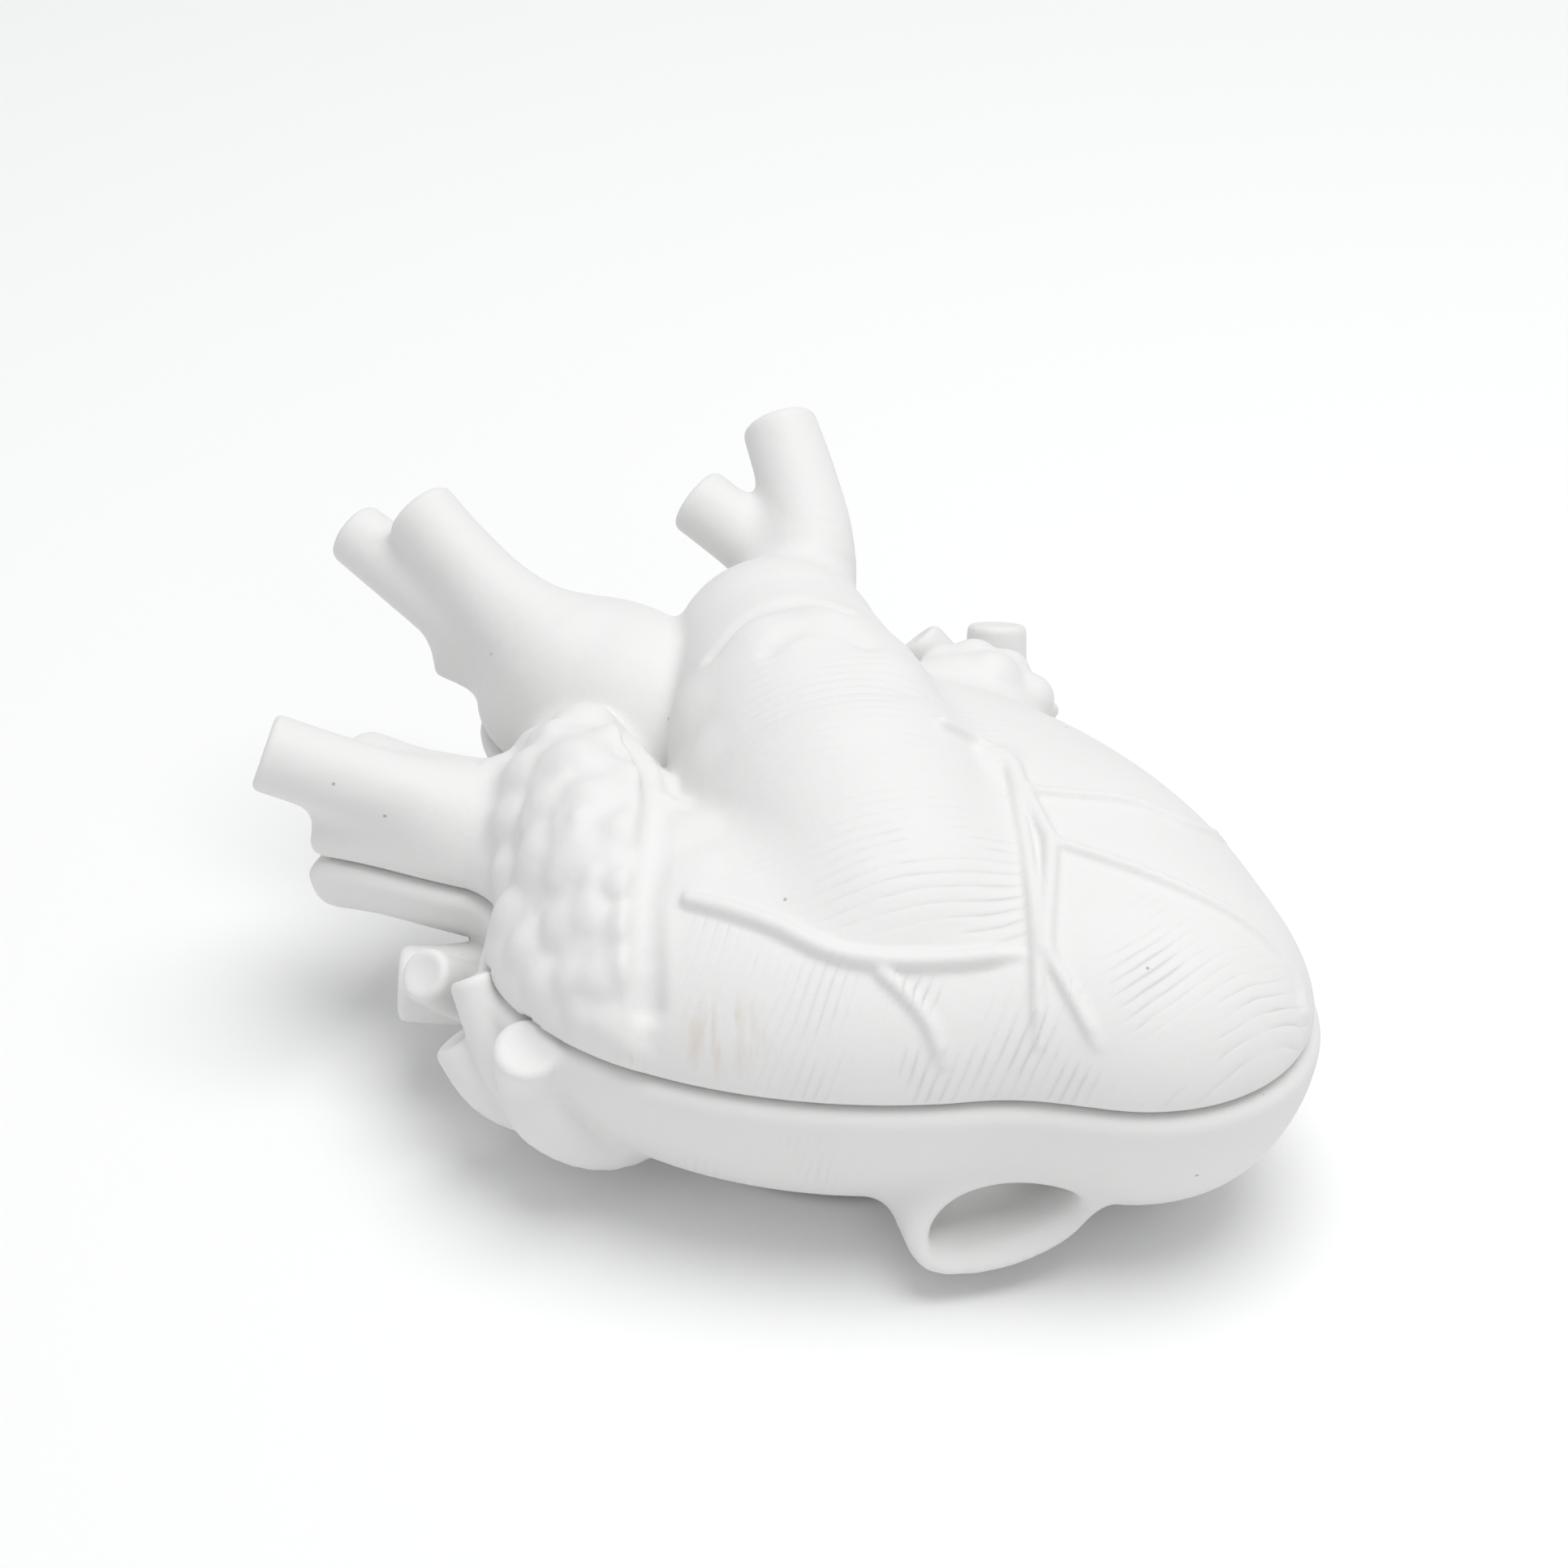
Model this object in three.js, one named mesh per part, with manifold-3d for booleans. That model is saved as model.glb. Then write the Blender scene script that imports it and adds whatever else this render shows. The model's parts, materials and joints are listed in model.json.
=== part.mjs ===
// A wind-up music box in white bisque porcelain, shaped as an anatomical heart lying on its back.
// The heart is cast in two shells that part on a level plane: a base with the pulmonary veins and the
// lower vena cava, and a lift-off lid with the great arteries. A comb movement stands on a raised floor
// inside the base, over a well in the underside that holds the winding key.
// Millimetres, +Z up. The origin is on the table, under the middle of the heart's outline.
import * as THREE from "three";
import { LoftGeometry } from "three/addons/geometries/LoftGeometry.js";
import { mergeVertices } from "three/addons/utils/BufferGeometryUtils.js";
import Module from "manifold-3d";

const wasm = await Module();
wasm.setup();

// ---- Driving dimensions -------------------------------------------------------------------------
const GAP = 0.3; // between pieces that touch
const PARTING = 36; // height of the plane between lid and base
const WALL = 4.5; // porcelain wall
const RIM_STEP = 1.2; // how far the base's rim stands out past the lid's
const FLANGE = { clearance: 0.8, thickness: 2.5, depth: 3.2, root: 3 };
const BELLY = { level: 3.6, rounding: 14 }; // the flattened underside and its rounded edge
const KEY_AXIS = { x: 9, y: -17 }; // the winding shaft, under the heart's middle
const WELL = { radius: 26, ceiling: 14, wall: 5 };
const FOOT_BOTTOM = 1.3;
const FLOOR_PAD = 18; // top of the raised floor that carries the movement
const FOOT_PAD = { radius: 2.2, thickness: 1, count: 3, firstAngle: 2 }; // one foot under the heavy side
const GASKET = 0.6;
const BED_BOTTOM = FLOOR_PAD + GAP + GASKET + GAP;
const SHIFT = { x: 3.46, y: -3.67 }; // from the modelling centre to the middle of the outline

// ---- The movement's layout -------------------------------------------------------------------------
// Measured from the key's axis and from the underside of the bed.
const BED = { x: [-15, 46], y: [-24, 20], thick: 3 };
const ON_BED = BED.thick + GAP;
const SPRING_BOX = { radius: 12, top: 13 };
const SHAFT_RADIUS = 1.6;
const SCREW_SPOTS = [[-11, -15], [-11, 15], [20, 0]];
const SCREW = { shank: 1.4, head: 2.8, headHeight: 1.6, hole: 1.8 };
const SMALL_SCREW = { shank: 0.7, head: 1.3, headHeight: 1.1, hole: 1.05 };
const CROWN = { teeth: 36, radius: 9.75, low: 13.4, root: 14.6, tip: 15.9, pitchPlane: 15.6, outer: 11 };
const PINION = { teeth: 12, radius: 3.25, root: 2.5, tip: 3.7, x: [9, 10.6] };
const AXIS_Z = CROWN.pitchPlane + PINION.radius; // the cylinder's axis
const ARBOR = { radius: 0.9, hole: 1.25, x: [8.4, 38.2] };
const CYLINDER = { x: [14.2, 34.6], radius: 6.5, wall: 0.9 };
const WHEEL = { teeth: 30, radius: 6, root: 5.4, tip: 6.35, x: [35.4, 36.4] };
const LEAF = { teeth: 9, radius: 1.8, root: 1.35, tip: 2.15, x: [35.2, 36.6] };
const GOVERNOR = { y: 5.55, z: AXIS_Z - 5.6, radius: 0.75, hole: 1.05, x: [34.9, 44.7] };
const WORM_WHEEL = { teeth: 20, radius: 5, root: 4.3, tip: 5.25, x: [39.4, 40.6] };
const WORM = { x: 40, y: GOVERNOR.y + 7.1, core: 1.5, thread: 0.8, turns: 5 };
const WORM_PITCH = (2 * Math.PI * WORM_WHEEL.radius) / WORM_WHEEL.teeth;
const SPINDLE = { radius: 0.7, hole: 1.05, z: [ON_BED + 0.4, 26.2] };
const FAN = { z: [20.4, 23.8], reach: 4.2, thick: 0.6 };
const COMB = { teeth: 18, tip: -(CYLINDER.radius + 0.9), root: -17, back: -23.4, thick: 1, rib: 1.8 };
const COMB_X = [CYLINDER.x[0] + 0.4, CYLINDER.x[1] - 0.4];
const COMB_SCREWS = [COMB_X[0] + 5, COMB_X[1] - 5].map((x) => [x, COMB.back + 3]);
const SEAT_TOP = AXIS_Z - COMB.thick / 2 - GAP;
const BEARING = { x: [12.4, 13.6], foot: 18.4, half: 4, screw: [16.3, 0] };
const FRAME = { near: [37, 38], far: [43, 44], y: [-4, 19.4], floor: 1 };
const FRAME_SCREWS = [[40.5, -2.2], [40.5, 16.6]];
const STOP = { x: 27, y: 15.5, radius: 1, hole: 1.4, z: [0.4, 28], guide: [ON_BED, 11], collar: [17.2, 18.4] };
const KEY = { hub: 3.2, low: -14.4, top: -6.4, wing: 5.2, out: 8.2, z: -11, thick: 1.6 };

// ---- The heart's form -----------------------------------------------------------------------------
// Lobes are ellipsoids: centre, half lengths (long, across, up, down), turn about Z in degrees, blend.
const LOBES = [
  { at: [30, -8, 36], half: [64, 37, 27, 36], turn: -47, blend: 0 }, // left ventricle
  { at: [53, -42, 36], half: [31, 27.5, 22, 33], turn: -22, blend: 8 }, // apex
  { at: [8, -32, 36], half: [60, 36, 26, 36], turn: -6, blend: 8 }, // right ventricle
  { at: [-32, -15, 38], half: [43, 18, 25, 33], turn: -76, blend: 4 }, // right atrium
  { at: [-32, 36, 42], half: [27, 19, 20, 24], turn: -35, blend: 5 }, // aortic root
  { at: [29, 32, 42], half: [15, 12, 13, 14], turn: 10, blend: 4 }, // left auricle
];
// Vessels are runs of [x, y, z, radius].
const OUTFLOW = [[16, -30, 38, 30], [9, -8, 45, 28], [2, 14, 50, 24], [-3, 36, 52, 19]];
const OUTFLOW_BLEND = 3;
const CAVA = [[-40, 0, 36, 15.5], [-56, 5, 36, 14.6], [-68, 9.5, 36, 14.2], [-77.5, 13.5, 36, 15]];
const LID_VESSELS = [
  [[-58, 2, 43, 8], [-70, 3, 48, 7.2], [-80, 4, 51.5, 6.8], [-90, 5, 55, 6.8]], // branch of the upper cava
  [[-42, 38, 52, 11], [-52, 46, 58, 8], [-60, 53, 64, 6.8], [-67, 60, 69, 6.6]], // near arch branch
  [[-42, 44, 47, 9], [-55, 49, 50, 7.4], [-64, 54, 54.5, 6.4], [-79.5, 66, 61, 5.8]], // far arch branch
  [[-42, 46, 43, 6.4], [-54, 50, 43.5, 6], [-63, 53, 45, 5.4]], // low arch branch
  [[1, 46, 54, 9], [3, 57, 63, 8.2], [1, 67, 70, 7.4], [-3, 77, 77, 6.7]], // pulmonary artery
  [[1, 56, 58, 8], [-8, 62, 62, 6.4], [-18, 68, 67, 6.2]], // its left branch
  [[1, 52, 54, 7], [-2, 66, 55, 5.6], [-6, 79, 56, 5]], // its rear branch
];
const BASE_VESSELS = [
  [[34, 38, 26, 8], [36, 52, 31, 6], [36.5, 60, 45, 5.3]], // left pulmonary veins
  [[34, 44, 26, 8], [29, 55, 33, 6], [21.5, 60, 41.5, 5]],
  [[34, 38, 26, 8], [39, 49, 29, 6], [44, 53, 35, 5]],
  [[-20, -36, 16, 9], [-31, -45, 14.5, 7.4], [-40, -47, 20, 6.6], [-43, -47, 27.5, 6], [-43.7, -48.6, 32.5, 5.8]], // right
  [[-30, -40, 15, 7], [-42, -39, 15, 6.2], [-50, -36, 18, 5.4], [-55.6, -31.5, 22, 4.9]],
  [[-42, -41, 19, 5.5], [-47, -38, 23, 5], [-50.5, -34, 28.5, 4.6], [-53.8, -29, 32, 4.5]],
  [[-38, -20, 20, 7], [-50, -20, 21, 5.6], [-57, -19.5, 23.5, 5], [-63.2, -21, 28, 4.7]],
  [[-38, -12, 20, 8.5], [-52, -13, 19.5, 7.4], [-60, -13.5, 19.5, 6.8], [-67.4, -13.5, 19.8, 6.4]],
];
// The lower vena cava is a flattened tube with an open mouth.
const LOWER_CAVA = { from: [27, -46, 19], to: [33, -69, 11.5], wide: [17.5, 16.5], high: [12, 8], lift: 4.5 };
const MOUTH = { wide: 12.6, high: 4.6, depth: 6 };
const CORE = new THREE.Vector3(4, -8, 37); // a point inside that sees the whole surface

const smoothMin = (a, b, k) =>
  k > 0 ? Math.min(a, b) - (Math.max(k - Math.abs(a - b), 0) ** 2) / (4 * k) : Math.min(a, b);
const smoothMax = (a, b, k) => -smoothMin(-a, -b, k);

function lobeDistance(p, { at, half, turn }) {
  const t = THREE.MathUtils.degToRad(turn);
  const dx = p.x - at[0];
  const dy = p.y - at[1];
  const q = [dx * Math.cos(t) + dy * Math.sin(t), dy * Math.cos(t) - dx * Math.sin(t), p.z - at[2]];
  const r = [half[0], half[1], q[2] < 0 ? half[3] : half[2]];
  const k0 = Math.hypot(q[0] / r[0], q[1] / r[1], q[2] / r[2]);
  const k1 = Math.hypot(q[0] / r[0] ** 2, q[1] / r[1] ** 2, q[2] / r[2] ** 2);
  return k1 > 0 ? (k0 * (k0 - 1)) / k1 : -Math.min(...r);
}

function runDistance(p, run) {
  let best = Infinity;
  for (let i = 1; i < run.length; i++) {
    const a = new THREE.Vector3(...run[i - 1]);
    const ab = new THREE.Vector3(...run[i]).sub(a);
    const ap = p.clone().sub(a);
    const t = THREE.MathUtils.clamp(ap.dot(ab) / ab.lengthSq(), 0, 1);
    const radius = THREE.MathUtils.lerp(run[i - 1][3], run[i][3], t);
    best = Math.min(best, ap.addScaledVector(ab, -t).length() - radius);
  }
  return best;
}

function heartDistance(p) {
  let d = Infinity;
  for (const lobe of LOBES) d = smoothMin(d, lobeDistance(p, lobe), lobe.blend);
  d = smoothMin(d, runDistance(p, OUTFLOW), OUTFLOW_BLEND);
  return smoothMax(d, BELLY.level - p.z, BELLY.rounding);
}

// A sphere's vertices drawn in along their own radius until they lie `inset` below the heart's surface.
function heartGeometry(inset, around, down) {
  const FAR = 130;
  const STEP = 1.5;
  const g = new THREE.SphereGeometry(1, around, down);
  g.rotateX(Math.PI / 2);
  const position = g.getAttribute("position");
  const ray = new THREE.Vector3();
  const at = (r) => heartDistance(CORE.clone().addScaledVector(ray, r)) + inset;
  for (let i = 0; i < position.count; i++) {
    ray.fromBufferAttribute(position, i).normalize();
    let outside = FAR;
    while (at(outside - STEP) > 0) outside -= STEP;
    let inside = outside - STEP;
    for (let n = 0; n < 12; n++) {
      const middle = (inside + outside) / 2;
      if (at(middle) > 0) outside = middle;
      else inside = middle;
    }
    position.setXYZ(i, CORE.x + ray.x * inside, CORE.y + ray.y * inside, CORE.z + ray.z * inside);
  }
  return g;
}

// ---- Solids ---------------------------------------------------------------------------------------
function solid(geometry) {
  const plain = new THREE.BufferGeometry();
  plain.setAttribute("position", geometry.getAttribute("position"));
  plain.setIndex(geometry.index);
  const merged = mergeVertices(plain, 1e-4);
  const vertProperties = new Float32Array(merged.getAttribute("position").array);
  return new wasm.Manifold(
    new wasm.Mesh({ numProp: 3, vertProperties, triVerts: new Uint32Array(merged.index.array) }),
  );
}

function geometryOf(manifold) {
  const mesh = manifold.getMesh();
  const g = new THREE.BufferGeometry();
  g.setAttribute("position", new THREE.BufferAttribute(new Float32Array(mesh.vertProperties), 3));
  g.setIndex(new THREE.BufferAttribute(mesh.triVerts, 1));
  return g;
}

const add = (...parts) => parts.reduce((a, b) => a.add(b));
const cut = (whole, ...parts) => parts.reduce((a, b) => a.subtract(b), whole);

const box = (x0, x1, y0, y1, z0, z1) =>
  solid(
    new THREE.BoxGeometry(x1 - x0, y1 - y0, z1 - z0).translate((x0 + x1) / 2, (y0 + y1) / 2, (z0 + z1) / 2),
  );

// A cylinder along Z from z0 to z1, or a ring where `bore` is given.
function rod(x, y, z0, z1, radius, sides = 24, bore = 0) {
  const round = (r, a, b) =>
    solid(new THREE.CylinderGeometry(r, r, b - a, sides).rotateX(Math.PI / 2).translate(x, y, (a + b) / 2));
  return bore ? cut(round(radius, z0, z1), round(bore, z0 - 1, z1 + 1)) : round(radius, z0, z1);
}

// The same along X.
function bar(y, z, x0, x1, radius, sides = 20, bore = 0) {
  const round = (r, a, b) =>
    solid(new THREE.CylinderGeometry(r, r, b - a, sides).rotateZ(Math.PI / 2).translate((a + b) / 2, y, z));
  return bore ? cut(round(radius, x0, x1), round(bore, x0 - 1, x1 + 1)) : round(radius, x0, x1);
}

// A tapered tube with flat ends, lofted along a smooth curve through the run.
function vessel(run, { sides = 12, steps = 7, inset = 0 } = {}) {
  const curve = new THREE.CatmullRomCurve3(run.map(([x, y, z]) => new THREE.Vector3(x, y, z)));
  const frames = curve.computeFrenetFrames(steps);
  const sections = [];
  for (let i = 0; i <= steps; i++) {
    const centre = curve.getPoint(i / steps);
    const place = (i / steps) * (run.length - 1);
    const k = Math.min(Math.floor(place), run.length - 2);
    const radius = THREE.MathUtils.lerp(run[k][3], run[k + 1][3], place - k) - inset;
    const ring = [];
    for (let j = 0; j < sides; j++) {
      const a = (j / sides) * 2 * Math.PI;
      ring.push(
        centre
          .clone()
          .addScaledVector(frames.normals[i], radius * Math.cos(a))
          .addScaledVector(frames.binormals[i], radius * Math.sin(a)),
      );
    }
    sections.push(ring);
  }
  return solid(new LoftGeometry(sections, { capStart: true, capEnd: true }));
}

// A flattened tube from one oval section to another, level across and tilted along its run.
function ovalTube(from, to, wide, high, lift, sides = 20) {
  const start = new THREE.Vector3(...from);
  const along = new THREE.Vector3(...to).sub(start);
  const across = new THREE.Vector3(-along.y, along.x, 0).normalize();
  across.z = lift / (2 * wide[1]);
  across.normalize();
  const up = new THREE.Vector3().crossVectors(along, across).normalize();
  const sections = [0, 1].map((t) => {
    const centre = start.clone().addScaledVector(along, t);
    const w = THREE.MathUtils.lerp(wide[0], wide[1], t);
    const h = THREE.MathUtils.lerp(high[0], high[1], t);
    return Array.from({ length: sides }, (_, j) => {
      const a = (j / sides) * 2 * Math.PI;
      return centre
        .clone()
        .addScaledVector(across, w * Math.cos(a))
        .addScaledVector(up, h * Math.sin(a));
    });
  });
  return solid(new LoftGeometry(sections, { capStart: true, capEnd: true }));
}

// ---- Porcelain shells -------------------------------------------------------------------------------
const EVERYWHERE = 200;
const above = (z) => box(-EVERYWHERE, EVERYWHERE, -EVERYWHERE, EVERYWHERE, z, EVERYWHERE);
const below = (z) => box(-EVERYWHERE, EVERYWHERE, -EVERYWHERE, EVERYWHERE, -EVERYWHERE, z);
const FINE = [60, 40];
const COARSE = [40, 26];
const cavity = solid(heartGeometry(WALL, ...COARSE));
const cavaBore = vessel(CAVA.slice(0, 3), { inset: WALL });

function lidShell() {
  const outside = add(
    solid(heartGeometry(0, ...FINE)),
    vessel(CAVA, { sides: 20 }),
    ...LID_VESSELS.map((run) => vessel(run)),
  );
  const upper = outside.intersect(above(PARTING + GAP / 2));
  const hollow = cut(upper, cavity, cavaBore);
  // A lip inside the rim drops into the base and centres the lid.
  const lipOutside = solid(heartGeometry(WALL + FLANGE.clearance, ...COARSE));
  const lipInside = solid(heartGeometry(WALL + FLANGE.clearance + FLANGE.thickness, ...COARSE));
  const seat = solid(heartGeometry(WALL - 1, ...COARSE));
  const slab = (z0, z1) => box(-EVERYWHERE, EVERYWHERE, -EVERYWHERE, EVERYWHERE, z0, z1);
  const rimLow = PARTING + GAP / 2;
  const lip = add(
    lipOutside.intersect(slab(PARTING - FLANGE.depth, rimLow + 0.5)),
    seat.intersect(slab(rimLow, rimLow + FLANGE.root)),
  );
  // A lug cast under the lid's roof holds the stop rod down while the lid is on.
  const lugFoot = BED_BOTTOM + STOP.z[1] + GAP;
  const roof = solid(heartGeometry(WALL / 2, ...COARSE));
  const lug = rod(KEY_AXIS.x + STOP.x, KEY_AXIS.y + STOP.y, lugFoot, EVERYWHERE / 2, 3, 16).intersect(roof);
  return add(hollow, cut(lip, lipInside, cavaBore), lug);
}

function baseShell() {
  const outside = add(
    solid(heartGeometry(-RIM_STEP, ...FINE)),
    vessel(CAVA, { sides: 20, inset: -RIM_STEP }),
    rod(KEY_AXIS.x, KEY_AXIS.y, FOOT_BOTTOM, FLOOR_PAD - 2, WELL.radius + WELL.wall, 48),
    ovalTube(LOWER_CAVA.from, LOWER_CAVA.to, LOWER_CAVA.wide, LOWER_CAVA.high, LOWER_CAVA.lift),
  ).intersect(below(PARTING - GAP / 2));
  const pedestal = rod(KEY_AXIS.x, KEY_AXIS.y, 0, FLOOR_PAD, WELL.radius + WELL.wall, 48);
  const veins = BASE_VESSELS.map((run) => vessel(run));
  const room = cut(cavity, pedestal);
  const start = new THREE.Vector3(...LOWER_CAVA.to);
  const run = new THREE.Vector3(...LOWER_CAVA.from).sub(start).normalize();
  const end = start.clone().addScaledVector(run, MOUTH.depth);
  const lip = start.clone().addScaledVector(run, -2);
  const mouth = ovalTube(
    end.toArray(), lip.toArray(), [MOUTH.wide * 0.7, MOUTH.wide], [MOUTH.high * 0.7, MOUTH.high], LOWER_CAVA.lift,
  );
  const screws = SCREW_SPOTS.map(([x, y]) => rod(KEY_AXIS.x + x, KEY_AXIS.y + y, 10, 30, SCREW.hole, 16));
  return cut(
    add(outside, ...veins),
    room,
    cavaBore,
    mouth,
    rod(KEY_AXIS.x, KEY_AXIS.y, -1, WELL.ceiling, WELL.radius, 48),
    rod(KEY_AXIS.x, KEY_AXIS.y, 0, 30, 3.6, 24),
    ...screws,
  );
}

// ---- The movement -----------------------------------------------------------------------------------
// A flat gear outline: straight-sided teeth that narrow to the tip, the first one centred on `phase`.
function gearShape({ teeth, root, tip }, bore, phase, rootShare = 0.34, tipShare = 0.22) {
  const shape = new THREE.Shape();
  const pitch = (2 * Math.PI) / teeth;
  for (let i = 0; i < teeth; i++) {
    const corners = [[-rootShare, root], [-tipShare, tip], [tipShare, tip], [rootShare, root]];
    corners.forEach(([share, r], k) => {
      const a = (i + share / 2) * pitch + phase;
      const go = i === 0 && k === 0 ? "moveTo" : "lineTo";
      shape[go](r * Math.cos(a), r * Math.sin(a));
    });
  }
  shape.holes.push(new THREE.Path().absarc(0, 0, bore, 0, 2 * Math.PI, true));
  return shape;
}

// The gear standing across the X axis; angles in its outline run from +Y towards +Z.
function gearAcrossX(shape, y, z, [x0, x1]) {
  const g = new THREE.ExtrudeGeometry(shape, { depth: x1 - x0, bevelEnabled: false, curveSegments: 8 });
  const basis = [new THREE.Vector3(0, 1, 0), new THREE.Vector3(0, 0, 1), new THREE.Vector3(1, 0, 0)];
  return solid(g.applyMatrix4(new THREE.Matrix4().makeBasis(...basis)).translate(x0, y, z));
}

function crownWheel() {
  const TOOTH = { radialHalf: [0.75, 0.55], widthHalf: [0.25, 0.17] };
  const height = CROWN.tip - CROWN.root + 0.2;
  let wheel = add(
    rod(0, 0, CROWN.low, CROWN.root, CROWN.outer, 36),
    rod(0, 0, CROWN.root - 0.2, CROWN.root + 1, 3.4, 20),
  );
  for (let i = 0; i < CROWN.teeth; i++) {
    const g = new THREE.BoxGeometry(1, 1, height);
    const position = g.getAttribute("position");
    for (let k = 0; k < position.count; k++) {
      const end = position.getZ(k) < 0 ? 0 : 1;
      position.setX(k, 2 * position.getX(k) * TOOTH.radialHalf[end]);
      position.setY(k, 2 * position.getY(k) * TOOTH.widthHalf[end]);
    }
    g.translate(CROWN.radius, 0, CROWN.tip - height / 2).rotateZ(((i + 0.5) / CROWN.teeth) * 2 * Math.PI);
    wheel = wheel.add(solid(g));
  }
  return cut(wheel, rod(0, 0, 0, 30, SHAFT_RADIUS + GAP, 20));
}

// The worm is lofted from round sections with one raised lobe that turns once in each pitch. The lobe
// faces the wheel at the wheel's own height, so a gap between two wheel teeth takes it.
function worm() {
  const SIDES = 12;
  const PER_TURN = 10;
  const sections = [];
  for (let i = 0; i <= WORM.turns * PER_TURN; i++) {
    const turns = i / PER_TURN - WORM.turns / 2;
    const ring = [];
    for (let j = 0; j < SIDES; j++) {
      const a = (j / SIDES) * 2 * Math.PI;
      const lobe = ((1 + Math.cos(a - 2 * Math.PI * turns + Math.PI / 2)) / 2) ** 2;
      const r = WORM.core + WORM.thread * lobe;
      ring.push(
        new THREE.Vector3(WORM.x + r * Math.cos(a), WORM.y + r * Math.sin(a), GOVERNOR.z + turns * WORM_PITCH),
      );
    }
    sections.push(ring);
  }
  const thread = solid(new LoftGeometry(sections, { capStart: true, capEnd: true }));
  return add(thread, rod(WORM.x, WORM.y, ...SPINDLE.z, SPINDLE.radius, 12));
}

function mainspring() {
  const TURNS = 5;
  const RADII = [3, 10.2];
  const STRIP = 0.35;
  const STEPS = TURNS * 16;
  const edge = (offset) =>
    Array.from({ length: STEPS + 1 }, (_, i) => {
      const a = (i / STEPS) * TURNS * 2 * Math.PI;
      const r = THREE.MathUtils.lerp(...RADII, i / STEPS) + offset;
      return new THREE.Vector2(r * Math.cos(a), r * Math.sin(a));
    });
  const shape = new THREE.Shape([...edge(STRIP / 2), ...edge(-STRIP / 2).reverse()]);
  return solid(new THREE.ExtrudeGeometry(shape, { depth: 7, bevelEnabled: false }).translate(0, 0, 4.5));
}

// A wire coil about a vertical axis, lofted round a helix.
function coil(x, y, z0, z1, radius, wire, turns) {
  const SIDES = 6;
  const STEPS = turns * 12;
  const sections = Array.from({ length: STEPS + 1 }, (_, i) => {
    const a = (i / STEPS) * turns * 2 * Math.PI;
    return Array.from({ length: SIDES }, (_, j) => {
      const b = (-j / SIDES) * 2 * Math.PI;
      const r = radius + wire * Math.cos(b);
      const z = z0 + ((z1 - z0) * i) / STEPS + wire * Math.sin(b);
      return new THREE.Vector3(x + r * Math.cos(a), y + r * Math.sin(a), z);
    });
  });
  return solid(new LoftGeometry(sections, { capStart: true, capEnd: true }));
}

function bedplate() {
  const plate = box(...BED.x, ...BED.y, 0, BED.thick);
  const seat = box(COMB_X[0], COMB_X[1], COMB.back, COMB.root + 1, BED.thick - 1, SEAT_TOP);
  const hole = ([x, y], radius) => rod(x, y, -1, BED.thick + 1, radius, 16);
  return cut(
    add(plate, seat),
    hole([0, 0], 2.6),
    hole([STOP.x, STOP.y], STOP.hole),
    hole(BEARING.screw, SMALL_SCREW.hole),
    ...FRAME_SCREWS.map((spot) => hole(spot, SMALL_SCREW.hole)),
    ...SCREW_SPOTS.map((spot) => hole(spot, SCREW.shank + GAP)),
    ...COMB_SCREWS.map(([x, y]) => rod(x, y, SEAT_TOP - 6, SEAT_TOP + 1, 1.1, 12)),
  );
}

function bedGasket() {
  const sheet = box(-14, 23, -19, 19, -GAP - GASKET, -GAP);
  return cut(sheet, rod(0, 0, -2, 1, 4, 24), ...SCREW_SPOTS.map(([x, y]) => rod(x, y, -2, 1, 2, 16)));
}

function mountingScrew([x, y]) {
  const under = WELL.ceiling - BED_BOTTOM - GAP;
  const head = rod(x, y, under - SCREW.headHeight, under, SCREW.head, 20);
  return add(head, rod(x, y, under - 0.5, BED.thick - 0.6, SCREW.shank, 14));
}

function smallScrew([x, y], seat) {
  const head = rod(x, y, seat + GAP, seat + GAP + SMALL_SCREW.headHeight, SMALL_SCREW.head, 16);
  return add(head, rod(x, y, 0.6, seat + 1, SMALL_SCREW.shank, 12));
}

function combScrew([x, y]) {
  const seat = AXIS_Z - COMB.thick / 2 + COMB.rib + GAP;
  return add(rod(x, y, seat, seat + 1.4, 2.1, 18), rod(x, y, SEAT_TOP - 5, seat + 0.5, 0.8, 12));
}

function springBox() {
  const shell = rod(0, 0, ON_BED, SPRING_BOX.top, SPRING_BOX.radius, 36);
  const inside = rod(0, 0, 0, SPRING_BOX.top - 1, SPRING_BOX.radius - 1, 36);
  return cut(shell, inside, rod(0, 0, 0, 20, SHAFT_RADIUS + 0.4, 20));
}

function windingShaft() {
  return add(
    rod(0, 0, -11.8, 18, SHAFT_RADIUS, 20),
    rod(0, 0, 4.2, 11.4, 2.4, 16), // the core that the spring hooks to
    rod(0, 0, 17.4, 18.4, 2.8, 16), // the head that holds the clutch spring down
  );
}

// The winding key: a hub with a flat round wing on each side.
function windingKey() {
  const wing = (side) =>
    solid(new THREE.CylinderGeometry(KEY.wing, KEY.wing, KEY.thick, 24).translate(side * KEY.out, 0, KEY.z));
  const body = add(rod(0, 0, KEY.low, KEY.top, KEY.hub, 20), wing(-1), wing(1));
  return cut(body, rod(0, 0, -12.1, 0, SHAFT_RADIUS + GAP, 20));
}

function bearing() {
  const [x0, x1] = BEARING.x;
  const upright = box(x0, x1, -BEARING.half, BEARING.half, ON_BED, AXIS_Z);
  const foot = box(x0, BEARING.foot, -BEARING.half, BEARING.half, ON_BED, ON_BED + 1);
  return cut(
    add(upright, foot, bar(0, AXIS_Z, x0, x1, BEARING.half, 24)),
    bar(0, AXIS_Z, 0, 20, ARBOR.hole, 20),
    rod(...BEARING.screw, 0, 10, SMALL_SCREW.hole, 12),
  );
}

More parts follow.
